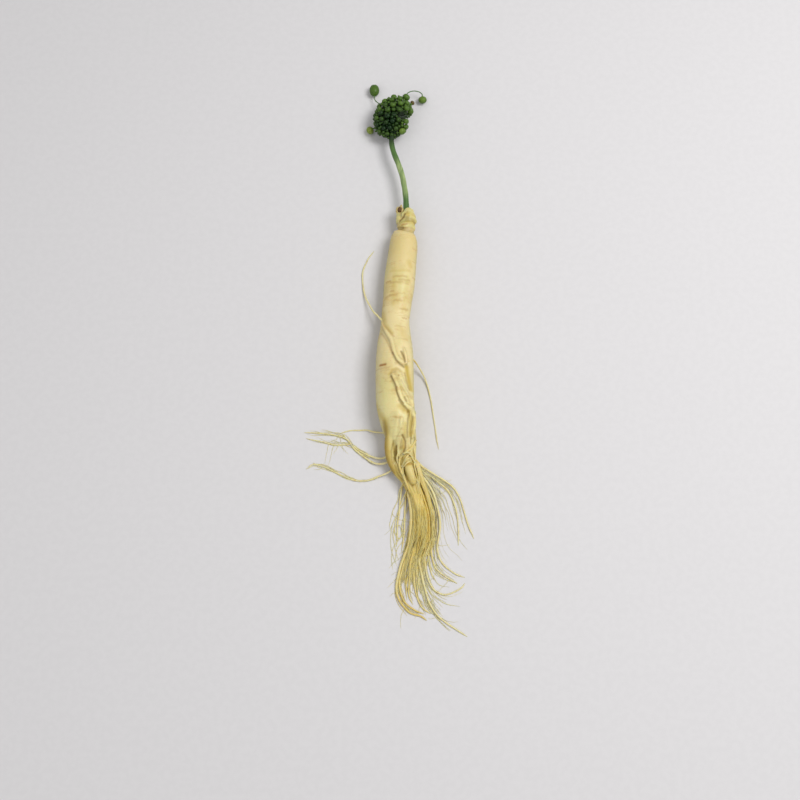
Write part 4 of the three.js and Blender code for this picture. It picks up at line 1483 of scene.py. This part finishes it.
    # How pale the rootlets are: how far from the core's middle they stay golden, over half its width, ...
    golden_reach: float = 1.35
    fading: Range = (-100, -128)  # the y over which the core fades towards its end
    faded: float = 0.6  # and by how much it does
    # ... and where they lie on the legs: from which y, around which x, how wide, and how pale.
    legs_edge: Range = (-76, -68)
    legs_middle: float = 9
    legs_width: float = 7
    legs_paleness: float = 0.5
    pad_front: Range = (-85, -78)  # the y over which the wet layer gets a little paler towards its start
    pad_front_paleness: float = 0.14
    golden_ends: Range = (-118, -130)  # the y over which the strands with golden ends turn golden

    def __post_init__(self) -> None:
        """Makes the finish that all rootlets share."""
        self.finish = RootletSkin().material()

    def core_at(self, y: np.ndarray | float) -> tuple[np.ndarray, np.ndarray]:
        """Returns the middle x of the core and half its width at y."""
        rows = np.array(self.core)[::-1]
        return np.interp(y, rows[:, 0], rows[:, 1]), np.interp(y, rows[:, 0], rows[:, 2])

    def paleness(self, places: np.ndarray) -> np.ndarray:
        """Tells golden rootlets in the core from pale ones beside it and at its far end.

        Args:
            places: rows that start with x, y.

        Returns:
            How pale a rootlet is at each place, from 0 to 1.
        """
        x, y = places[:, 0], places[:, 1]
        middle, width = self.core_at(y)
        golden = np.exp(-(np.abs((x - middle) / (self.golden_reach * width)) ** 3))
        golden *= 1 - self.faded * ramp(y, *self.fading)
        # Over the legs the loose rootlets are straw-coloured, like the skin below them.
        over_legs = ramp(y, *self.legs_edge) * np.exp(-(((x - self.legs_middle) / self.legs_width) ** 4))
        return (1 - golden) * (1 - over_legs) + self.legs_paleness * over_legs

    def pad(self) -> bpy.types.Mesh:
        """Sweeps the low wet layer that the core's strands have stuck together in.

        Returns:
            Its mesh, grooved along its length and painted.
        """
        sides = self.pad_sides
        y = np.linspace(*self.pad_ends, self.pad_rings)
        middle, width = self.core_at(y)
        level = 5.0
        mesh = tube(np.column_stack([middle, y, np.full(len(y), level), np.ones(len(y))]), sides)
        places, _ = corners_of(mesh)
        across = places[:, 0] - np.repeat(middle, sides)
        up = places[:, 2] - level
        share = np.linspace(0.02, 0.99, len(y))
        ends = eased(share / self.pad_opening) * eased((1 - share) / self.pad_closing)
        places[:, 0] = np.repeat(middle, sides) + across * np.repeat(width * ends, sides)
        heights = np.array([self.ground.below(ring) for ring in places.reshape(-1, sides, 3)])
        heights = taut(heights, 8).ravel()
        relief = self.pad_grooves * grain(places, (0.7, 14, 6), 4.0)
        thickness = self.pad_thickness * np.repeat(ends, sides)
        sunk = self.sunk * np.repeat(1 - eased(share / self.pad_rising), sides)
        places[:, 2] = np.maximum(heights + self.pad_lift - sunk + thickness * up + relief, GAP)
        move_corners(mesh, places)
        front = self.pad_front_paleness * ramp(places[:, 1], *self.pad_front)
        paint(mesh, "pale", np.maximum(self.paleness(corners_of(mesh)[0]), front))
        return mesh

    def mat(self, draw: random.Random) -> list[Strand]:
        """Makes the fine strands of the core, each drifting across it as it runs down.

        Args:
            draw: the source of their places and sizes.

        Returns:
            The locks, and then the finer strands.
        """
        made = []
        for k in range(self.matted + self.locks):
            first, last = draw.uniform(*self.matted_start), draw.uniform(*self.matted_end)
            offset, drift = draw.uniform(-self.spread, self.spread), draw.gauss(0, self.drift)
            lift, thick = draw.uniform(*self.matted_lift), draw.uniform(*self.matted_thick)
            if k < self.locks:
                first, last = draw.uniform(*self.lock_start), draw.uniform(*self.lock_end)
                offset, drift = self.spread * (2 * k / (self.locks - 1) - 1), 0.5 * drift
                lift, thick = self.lock_lift, draw.uniform(*self.lock_thick)
            route = []
            for y in np.linspace(first, last, max(4, int((first - last) / 6))):
                # It stays near the core, lies highest along its middle, and starts below the skin.
                share = (first - y) / (first - last)
                across = min(1.1, max(-1.1, offset + drift * share))
                middle, width = self.core_at(y)
                height = lift * (1 - 0.6 * across * across) * math.sin(math.pi * share) ** 0.6
                height -= self.sunk * max(0.0, 1 - 8 * share)
                route.append((float(middle + across * width), float(y), height))
            made.append(Strand(thick, max(0.12, 0.55 * thick - 0.1), tuple(route), True))
        return made

    def fringes(self, draw: random.Random) -> list[Strand]:
        """Makes loose strands, each a blend of two neighbours among the main ones.

        Args:
            draw: the source of their shares, lengths and sizes.

        Returns:
            The strands, each cut off at its own length.
        """
        steps = 30
        made = []
        for _ in range(self.fringe):
            first = draw.choice(self.fringe_pairs)
            share, length = draw.uniform(0.1, 0.9), draw.uniform(0.27, 0.99) ** 0.6
            a, b = (glide(strand.route, steps) for strand in self.main[first : first + 2])
            blend = (a * (1 - share) + b * share)[: int(steps * length)]
            in_veil = first >= self.veil_from
            stray = draw.uniform(-1, 1) * (self.veil_stray if in_veil else self.fringe_stray)
            # It leaves the main strands little by little, so that its start is hidden among them.
            blend[:, 0] += stray * np.minimum(1, np.arange(len(blend)) / 9)
            thick = draw.uniform(*self.fringe_thick) * (self.veil_fineness if in_veil else 1.0)
            made.append(Strand(thick, 0.5 * thick, tuple(map(tuple, blend[::4]))))
        return made

    def stuck_strands(self, draw: random.Random) -> list[Strand]:
        """Makes fine strands that run along the side rootlets and along the ends of the longest ones.

        Args:
            draw: the source of their places and sizes.

        Returns:
            The strands.
        """
        bearing = (*self.side[:3], *self.main[:2], self.main[3], self.main[4], self.main[4])
        made = []
        for strand in bearing:
            line = glide(strand.route, 30)
            for _ in range(self.stuck):
                # It runs beside a part of the line, and leaves it more and more towards its end.
                part = line[draw.randrange(6, 16) : draw.randrange(24, 31) : 3].copy()
                stray = np.linspace(draw.uniform(-0.5, 0.5), draw.uniform(-1.6, 1.6), len(part))
                part[:, :2] += np.column_stack([0.5 * stray, stray])
                thick = draw.uniform(*self.stuck_thick)
                route = tuple(map(tuple, part))
                made.append(Strand(thick, 0.5 * thick, route, golden_end=strand.golden_end))
        return made

    def hair(self, rows: np.ndarray, draw: random.Random) -> Strand:
        """Makes one fine hair that leaves a rootlet sideways, curls and settles on the surface.

        Args:
            rows: the rootlet's sampled rows.
            draw: the source of the hair's place, heading, length and curl.

        Returns:
            The hair.
        """
        foot = rows[draw.randrange(len(rows) // 3, len(rows) - 4)]
        heading = draw.choice((-1, 1)) * draw.uniform(0.15, 0.8) - math.pi / 2
        bends = 5
        step = draw.uniform(*self.hair_length) / bends
        curl = draw.uniform(-0.25, 0.25)
        x, y, z = foot[:3]
        height = z - foot[3]
        route = [(x, y, height)]
        for k in range(1, bends + 1):
            # It reaches the surface at its third bend.
            heading += curl
            x += step * math.cos(heading)
            y += step * math.sin(heading)
            route.append((x, y, max(0.0, height * (1 - k / 3))))
        return Strand(0.13, 0.06, tuple(route))

    def add(
        self,
        name: str,
        strands: Sequence[Strand],
        sides: int,
        wobble: float,
        draw: random.Random,
    ) -> list[np.ndarray]:
        """Sweeps strands and adds them as one piece.

        Args:
            name: the piece's name.
            strands: what it is made of.
            sides: how many sides each has.
            wobble: how far each bends off its route.
            draw: the source of their bends.

        Returns:
            The sampled rows of each strand.
        """
        sampled = [strand.rows(self.ground, draw, wobble) for strand in strands]
        pale = []
        for strand, rows in zip(strands, sampled):
            shares = np.clip(self.paleness(rows) + draw.uniform(-0.12, 0.26), 0, 1)
            if strand.golden_end:
                shares *= 1 - 0.7 * ramp(rows[:, 1], *self.golden_ends)
            pale.append(np.repeat(shares, sides))
        mesh = merged(name, [tube(rows, sides) for rows in sampled])
        paint(mesh, "pale", np.concatenate(pale))
        make_piece(name, mesh, self.finish)
        return sampled

    def build(self) -> None:
        """Adds the rootlets to the scene."""
        draw = random.Random(5)
        bearing = self.add("long_rootlets", self.main, 8, 0.5, draw)
        bearing += self.add("side_rootlets", self.side, 8, 0.6, draw)
        self.add("crossing_rootlets", self.crossing, 8, 0.15, draw)
        bearing += self.add("stray_rootlets", self.stray, 6, 0.5, draw)
        make_piece("matted_layer", self.pad(), self.finish)
        bearing += self.add("matted_rootlets", self.mat(draw), 6, 0.9, draw)
        loose = self.fringes(draw) + self.stuck_strands(draw)
        bearing += self.add("fringe_rootlets", loose, 6, 1.0, draw)
        hairs = [self.hair(draw.choice(bearing), draw) for _ in range(self.hairs)]
        self.add("root_hairs", hairs, 4, 0.5, draw)


@dataclass
class Bud:
    """Dry brown scales that stand at the tip of the bud, beside the stalk."""

    flatness: float = 0.5  # thickness over width
    sides: int = 12
    core: tuple[Station, ...] = (
        (5.9, 67.4, 9.2, 0.8), (5.8, 68.6, 9.6, 1.05), (5.9, 69.8, 9.7, 0.8), (6.1, 70.4, 9.5, 0.3),
    )
    scales: tuple[tuple[Station, ...], ...] = (
        ((6.1, 67.8, 8.2, 1.2), (6.2, 69.6, 8.5, 1.3), (6.6, 71, 8.9, 0.8), (6.9, 72, 9.2, 0.15)),
        ((4.9, 66.8, 8.8, 0.6), (4.6, 68.2, 9.2, 0.75), (4.7, 69.8, 9.4, 0.6), (5.2, 70.9, 9.3, 0.12)),
        ((7, 67.4, 9.5, 0.5), (7.3, 68.6, 9.8, 0.55), (7.2, 69.8, 9.7, 0.4), (6.8, 70.6, 9.5, 0.12)),
    )

    def build(self) -> None:
        """Adds the scales and the withered core between them to the scene."""
        meshes = []
        for stations in self.scales:
            rows = glide(stations, 14)
            scale = tube(blunt(rows), self.sides)
            places, _ = corners_of(scale)
            middle = np.repeat(rows[:, 2], self.sides)
            places[:, 2] = middle + self.flatness * (places[:, 2] - middle)
            move_corners(scale, places)
            meshes.append(scale)
        make_piece("bud_scales", merged("scales", meshes), BudSkin().material())
        withered = BudSkin("withered_bud", "#33220f", "#6a4c2a")
        core = tube(blunt(glide(self.core, 12)), self.sides)
        make_piece("bud_core", core, withered.material())


# ---- The fruit stalk and the berries ----


class ShadeAndRipeness(Enum):
    """How light a berry is painted, from 0 deep in the head to 1: painted shade inside the head and painted
    light at its rim, with the yellower skin of riper berries.
    """

    SHADED = 0.04
    HALF = 0.36
    SOFT = 0.44
    DULL = 0.5
    SUNLIT = 0.74
    YELLOWING = 0.86


@dataclass(frozen=True)
class Berry:
    """One berry, where it is and how it looks."""

    name: str
    at: Vector  # its middle
    radius: float
    flatten: float  # length over width
    route: tuple[Place, ...]  # the bends of its pedicel
    # how light it is painted, from painted shade deep in the head to the paler skin of riper berries
    shade_and_ripeness: float
    withered: float = 0.0


@dataclass(frozen=True)
class OuterBerry:
    """How a berry looks that stands on its own, where its solid is."""

    radius: float
    shade_and_ripeness: ShadeAndRipeness
    flatten: float = 0.9
    route: tuple[Place, ...] = ()
    withered: float = 0.0


@dataclass
class Head:
    """The fruit stalk, its pedicels and the berries at their ends."""

    stalk: tuple[Station, ...] = (
        (9.2, 67, 8, 1.55), (9.2, 71, 8, 1.55), (8.9, 77.7, 8, 1.5), (8, 84.2, 8, 1.46), (7, 89.4, 8, 1.46),
        (5, 96, 8, 1.44), (2.6, 102.7, 8, 1.4), (1.5, 109.3, 8, 1.38), (2.2, 119, 8, 1.4),
    )
    ribs: int = 6
    rib_height: float = 0.035  # as a share of the stalk's radius
    foot_y: float = 68.8  # where the stalk swells as it leaves the neck
    foot_length: float = 1.4
    foot_swelling: float = 0.14  # as a share of its radius
    unevenness: float = 0.035  # how much thicker or thinner the rest of it gets, likewise
    umbel: Place = (2.4, 121.6, 8)
    receptacle: float = 2.2
    pedicel: float = 0.32
    pedicel_end: Range = (0.86, 1)  # the share of its length over which a pedicel thickens
    # The shell that the berries of the head lie in: its middle, its reach and its turn about Z.
    middle: Place = (2.2, 122.8, 8)
    reach: Place = (9, 11.3, 5.2)
    turn: float = math.radians(-24)
    # The bay that the head leaves open on its +X side: its tip, the ends of its sides and half their width.
    bay_tip: tuple[float, float] = (6.8, 122.2)
    bay_ends: tuple[tuple[float, float], ...] = ((16, 122.4), (16, 118.4))
    bay_width: float = 1.7
    berry_radius: float = 1.38
    berry_spread: float = 0.12
    closeness: float = 0.93  # how near neighbours may come, as they press into each other a little
    flatten: float = 0.9
    dark_heart: tuple[float, float] = (0.5, 118)  # x, y of the most shaded part of the head
    heart_reach: Range = (3, 12.5)  # how far from it berries start to get lighter, and are fully so
    bright_lobe: tuple[float, float] = (8.6, 116.4)  # x, y of the part beside the bay that had more light
    lobe_reach: float = 3.4
    lobe_light: float = 0.3
    shading: Range = (103, 110)  # the y over which the head starts to shade the stalk
    pedicel_shading: Range = (1.1, 0.75)  # and the share of the shell inside which pedicels darken
    # Calyx teeth and styles: radius at the foot, radius at the tip and length, over the berry's radius.
    tooth: Place = (0.06, 0.004, 0.16)
    style: Place = (0.05, 0.015, 0.3)
    # The berries that are placed one by one, in the order of their solids; the rest form the head.
    outer: tuple[OuterBerry, ...] = (
        OuterBerry(1.8, ShadeAndRipeness.DULL),
        OuterBerry(1.95, ShadeAndRipeness.DULL),
        OuterBerry(1.85, ShadeAndRipeness.SUNLIT),
        OuterBerry(1.5, ShadeAndRipeness.DULL),
        OuterBerry(1.2, ShadeAndRipeness.HALF, withered=0.7),
        OuterBerry(2.55, ShadeAndRipeness.SOFT, 1.35, ((-2.6, 130, 7), (-6, 133.8, 4), (-7.7, 136.6, 2.9))),
        OuterBerry(2.2, ShadeAndRipeness.SUNLIT, 0.9, (
            (5.6, 128, 6.2), (7.9, 133.6, 5.4), (9.8, 138, 6), (12.9, 139.7, 5.8), (16.2, 139.8, 4.8),
            (17.9, 138.9, 3.8),
        )),
        OuterBerry(2.1, ShadeAndRipeness.YELLOWING, 0.9, ((-4, 120.4, 5),)),
    )
    # Berries that close the gap between the head and its withered one: place and radius.
    bridging: tuple[Station, ...] = ((11.5, 129.4, 7.2, 0.95), (11.9, 129.9, 9, 0.7))
    # Small berries that fill the gaps, largest first: radius, tries, and the part of the shell they take.
    fillings: tuple[tuple[float, int, float, float], ...] = (
        (1.25, 3000, 0.82, 1.06), (1.05, 5000, 0.7, 1.06), (0.85, 9000, 0.6, 1.08), (0.65, 12000, 0.72, 1.12),
    )

    def light_at(self, at: Vector) -> float:
        """Works out how much light reaches a berry of the head.

        Args:
            at: where the berry lies.

        Returns:
            How light it is painted, from 0 to 1: painted shade deep in the head, painted light towards its
                rim and on the lobe beside the bay.
        """
        rim = float(ramp(math.dist(at[:2], self.dark_heart), *self.heart_reach))
        off_lobe = math.dist(at[:2], self.bright_lobe) / self.lobe_reach
        shaded, dull = ShadeAndRipeness.SHADED.value, ShadeAndRipeness.DULL.value
        return shaded + (dull - shaded) * rim + self.lobe_light * math.exp(-(off_lobe**2))

    def berries(self) -> list[Berry]:
        """Reads where the solids put the berries, and gives each its size and ripeness.

        Returns:
            The berries, in the order of their solids.
        """
        names = sorted(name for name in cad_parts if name.startswith("berry_"))
        made = []
        for i, name in enumerate(names):
            low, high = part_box(name)
            at = (low + high) / 2 / MM
            if i < len(self.outer):
                own = self.outer[i]
                shade_and_ripeness = own.shade_and_ripeness.value
                made.append(Berry(name, at, own.radius, own.flatten, own.route, shade_and_ripeness, own.withered))
                continue
            spread = self.berry_spread * math.sin(GOLDEN_ANGLE * (i - len(self.outer)))
            radius = self.berry_radius * (1 + spread)
            # Neighbours differ a little in light too.
            light = self.light_at(at) + 0.13 * math.sin(5.1 * i)
            made.append(Berry(name, at, radius, self.flatten, (), max(0.0, light)))
        return made

    def in_bay(self, at: Vector, radius: float) -> bool:
        """Says whether a berry would close the bay.

        Args:
            at: where it would lie.
            radius: how large it is.

        Returns:
            True where it reaches into the bay.
        """
        place = np.array([at[:2]])
        sides = (np.array([self.bay_tip, end], float) for end in self.bay_ends)
        return any(to_line(place, side)[0] < self.bay_width + radius for side in sides)

    def small_berries(self, others: list[Berry]) -> list[Berry]:
        """Fills the gaps of the head with small berries.

        Args:
            others: the berries that keep their places.

        Returns:
            The small berries.
        """
        draw = random.Random(23)
        turn = Matrix.Rotation(self.turn, 3, "Z")
        made = []
        for *place, radius in self.bridging:
            at = Vector(place)
            made.append(Berry(f"small_{len(made)}", at, radius, self.flatten, (), self.light_at(at)))
        taken = np.array([(*berry.at, berry.radius) for berry in [*others, *made]])
        for size, tries, inner, outer in self.fillings:
            for _ in range(tries):
                way = Vector([draw.gauss(0, 1) for _ in range(3)]).normalized() * draw.uniform(inner, outer)
                at = turn @ (way * Vector(self.reach)) + Vector(self.middle)
                radius = size * draw.uniform(0.92, 1.08)
                room = np.linalg.norm(taken[:, :3] - np.array(at), axis=1) - taken[:, 3]
                too_close = room.min() < self.closeness * radius
                too_low = at.z < radius + 0.2
                if too_close or too_low or self.in_bay(at, radius):
                    continue
                taken = np.vstack([taken, (*at, radius)])
                # Painted shade: the deeper it lies in the shell, the darker it is painted.
                light = self.light_at(at) * (0.4 + 0.6 * (way.length - inner) / (outer - inner))
                light += draw.uniform(-0.05, 0.12)
                made.append(Berry(f"small_{len(made)}", at, radius, self.flatten, (), max(0.0, light)))
        return made

    def foot(self, berry: Berry) -> Vector:
        """Returns the last bend of the pedicel before the berry."""
        return Vector(berry.route[-1] if berry.route else self.umbel)

    def spike(self, bm: bmesh.types.BMesh, sizes: Place, place: Matrix) -> None:
        """Adds a four-sided spike.

        Args:
            bm: what it is added to.
            sizes: its radius at the foot, its radius at the tip and its length.
            place: where its middle is, with its tip along Z.
        """
        foot, tip, length = sizes
        bmesh.ops.create_cone(
            bm, cap_ends=True, segments=4, radius1=foot, radius2=tip, depth=length, matrix=place
        )

    def berry_mesh(self, berry: Berry, around: int, rings: int, teeth: int) -> bpy.types.Mesh:
        """Models one berry: a flattened, faintly two-lobed globe with calyx teeth and two styles at its end.

        Args:
            berry: where it is and how large.
            around: how many segments it has around.
            rings: how many it has from end to end.
            teeth: how many calyx teeth it has.

        Returns:
            Its mesh, in place.
        """
        bm = bmesh.new()
        globe = bmesh.ops.create_uvsphere(bm, u_segments=around, v_segments=rings, radius=1)["verts"]
        # The end is dented where the calyx sits, and a shallow furrow parts the two lobes.
        for corner in globe:
            way = corner.co.normalized()
            tip = math.exp(-((1 - way.z) / 0.06))
            lobes = math.exp(-((way.x / 0.22) ** 2)) * max(0.0, way.z + 0.35)
            corner.co *= 1 - 0.14 * tip - 0.05 * lobes
        bmesh.ops.scale(bm, vec=(1.04, 1.0, berry.flatten), verts=globe)
        top = 0.87 * berry.flatten
        for k in range(teeth):
            swing = Matrix.Rotation(2 * math.pi * k / teeth, 4, "Z")
            lean = swing @ Matrix.Translation((0.17, 0, top)) @ Matrix.Rotation(0.9, 4, "Y")
            self.spike(bm, self.tooth, lean)
        for side in (-1, 1):
            lean = Matrix.Translation((0, 0.07 * side, top + 0.08)) @ Matrix.Rotation(0.5 * side, 4, "X")
            self.spike(bm, self.style, lean)
        outward = (berry.at - self.foot(berry)).normalized()
        turn = Vector((0, 0, 1)).rotation_difference(outward).to_matrix().to_4x4()
        place = Matrix.Translation(berry.at * MM) @ turn @ Matrix.Scale(berry.radius * MM, 4)
        bmesh.ops.transform(bm, matrix=place, verts=bm.verts[:])
        mesh = made_mesh(berry.name, bm)
        places, _ = corners_of(mesh)
        # Painted light: each berry is painted a little lighter on its upper side than below.
        lift = (places[:, 2] - berry.at.z) / berry.radius
        paint(mesh, "sunlit", np.clip(berry.shade_and_ripeness + 0.05 * lift, 0, 1))
        paint(mesh, "withered", np.full(len(places), berry.withered))
        return mesh

    def pedicel_rows(self, berry: Berry) -> np.ndarray:
        """Samples the thin stalk that carries a berry, with a slight bow and a thicker end.

        Args:
            berry: the berry.

        Returns:
            Rows of x, y, z and radius.
        """
        foot = self.foot(berry)
        way = (berry.at - foot).normalized()
        end = berry.at - way * (berry.flatten * berry.radius - 0.12)
        start = Vector(self.umbel)
        places = [start, *map(Vector, berry.route), end]
        if not berry.route:
            bow = Vector((0.12 * math.sin(3 * berry.at.x), 0.12 * math.sin(3 * berry.at.y), 0.35))
            places.insert(1, start.lerp(end, 0.5) + bow)
        rows = glide([tuple(place) for place in places], 6 * (len(places) - 1))
        share = np.linspace(0, 1, len(rows))
        radius = self.pedicel * (0.82 + 0.5 * ramp(share, *self.pedicel_end))
        return np.column_stack([rows, radius])

    def ribbed_stalk(self) -> bpy.types.Mesh:
        """Sweeps the stalk, swollen at its foot, with ribs along it.

        Returns:
            Its mesh.
        """
        sides = 4 * self.ribs
        rows = glide(self.stalk, 70)
        foot = np.exp(-(((rows[:, 1] - self.foot_y) / self.foot_length) ** 2))
        rows[:, 3] *= 1 + self.unevenness * np.sin(0.9 * rows[:, 1]) + self.foot_swelling * foot
        mesh = tube(rows, sides)
        places, _ = corners_of(mesh)
        middles = np.repeat(rows[:, :3], sides, axis=0)
        around = np.tile(np.arange(sides), len(rows))
        crests = 1 + self.rib_height * np.cos(2 * math.pi * self.ribs * around / sides)
        move_corners(mesh, middles + (places - middles) * crests[:, None])
        return mesh

    def stalk_mesh(self, berries: list[Berry]) -> bpy.types.Mesh:
        """Makes the stalk with its swollen end and every pedicel.

        Args:
            berries: what the pedicels carry.

        Returns:
            The mesh of all of them, painted where it is shaded.
        """
        bm = bmesh.new()
        place = Matrix.Translation(Vector(self.umbel) * MM)
        radius = self.receptacle * MM
        bmesh.ops.create_uvsphere(bm, u_segments=20, v_segments=14, radius=radius, matrix=place)
        meshes = [self.ribbed_stalk(), made_mesh("receptacle", bm)]
        meshes += [tube(self.pedicel_rows(berry), 6) for berry in berries]
        whole = merged("stalk", meshes)
        places, _ = corners_of(whole)
        depth = np.linalg.norm((places - np.array(self.middle)) / np.array(self.reach), axis=1)
        under_head = eased(ramp(places[:, 1], *self.shading))
        on_stalk = np.abs(places[:, 0] - self.umbel[0]) < 4
        shade = np.maximum(eased(ramp(depth, *self.pedicel_shading)), under_head * on_stalk)
        paint(whole, "shaded", 0.92 * shade)
        return whole

    def build(self) -> None:
        """Adds the stalk and the berries to the scene."""
        berries = self.berries()
        small = self.small_berries(berries)
        stalk = self.stalk_mesh(berries + small)
        make_piece("stalk_and_pedicels", stalk, StalkSkin().material(), ("fruit_stalk",))
        skin = BerrySkin().material()
        for i, berry in enumerate(berries):
            mesh = self.berry_mesh(berry, 24, 15, 5)
            make_piece(f"{berry.name}_fruit", mesh, skin, (berry.name,))
        cluster = merged("small_berries", [self.berry_mesh(berry, 8, 6, 0) for berry in small])
        make_piece("small_berries", cluster, skin)
        LOG.info("%d small berries", len(small))


# ---- The studio ----


@dataclass
class Studio:
    """A pale floor, soft lights and the camera."""

    floor_size: float = 2.4  # in metres
    camera_at: Place = (6, -169.6, 520.8)
    aim: Place = (6, -30, 0)
    lens: float = 48.53
    key_at: Place = (0.5, 0.1, 0.84)
    key_size: float = 0.45
    key_power: float = 6.0
    fill_at: Place = (-0.6, -0.4, 0.9)
    fill_size: float = 1.0
    fill_power: float = 2.2
    surroundings: float = 0.42
    paper: str = "#dcdadb"
    paper_clouds: str = "#dad8d9"

    def floor(self) -> None:
        """Lays the plain pale floor."""
        bm = bmesh.new()
        bmesh.ops.create_circle(bm, cap_ends=True, segments=96, radius=self.floor_size / 2)
        mesh = made_mesh("floor", bm)
        ground = bpy.data.objects.new("floor", mesh)
        bpy.context.scene.collection.objects.link(ground)
        paper = Palette("matt_studio_paper")
        tone = paper.over(self.paper, self.paper_clouds, paper.noise((3, 3, 3), 2))
        mesh.materials.append(paper.finish(tone, {"Roughness": 0.85, "Specular IOR Level": 0.2}, {}))

    def light(self, name: str, at: Place, size: float, power: float) -> None:
        """Hangs a square soft light that faces the root.

        Args:
            name: the light's name.
            at: where it hangs, in metres.
            size: the length of its sides, in metres.
            power: its strength, in watts.
        """
        lamp = bpy.data.lights.new(name, "AREA")
        lamp.size = size
        lamp.energy = power
        holder = bpy.data.objects.new(name, lamp)
        holder.location = at
        holder.rotation_euler = (-Vector(at)).to_track_quat("-Z", "Y").to_euler()
        bpy.context.scene.collection.objects.link(holder)

    def camera(self) -> None:
        """Sets the camera over the root's foot, looking down."""
        data = bpy.data.cameras.new("camera")
        data.lens = self.lens
        data.clip_start = 0.01
        eye = bpy.data.objects.new("camera", data)
        eye.location = Vector(self.camera_at) * MM
        way = Vector(self.aim) - Vector(self.camera_at)
        eye.rotation_euler = way.to_track_quat("-Z", "Y").to_euler()
        bpy.context.scene.collection.objects.link(eye)
        bpy.context.scene.camera = eye

    def build(self) -> None:
        """Sets up the floor, the lights, the camera and the pale surroundings."""
        self.floor()
        self.light("key_light", self.key_at, self.key_size, self.key_power)
        self.light("fill_light", self.fill_at, self.fill_size, self.fill_power)
        self.camera()
        world = bpy.data.worlds.new("surroundings")
        world.use_nodes = True
        glow = world.node_tree.nodes["Background"]
        glow.inputs["Color"].default_value = (1, 1, 1, 1)
        glow.inputs["Strength"].default_value = self.surroundings
        bpy.context.scene.world = world
        # The plain view keeps the greens and yellows as strong as they are in daylight.
        bpy.context.scene.view_settings.view_transform = "Standard"


def main() -> None:
    """Builds the plant and its studio in order."""
    logging.basicConfig(level=logging.INFO, format="%(name)s %(message)s")
    skin = Root().build()
    Rootlets(Ground(skin)).build()
    Bud().build()
    Head().build()
    Studio().build()
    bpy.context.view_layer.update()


if __name__ == "__main__":
    main()
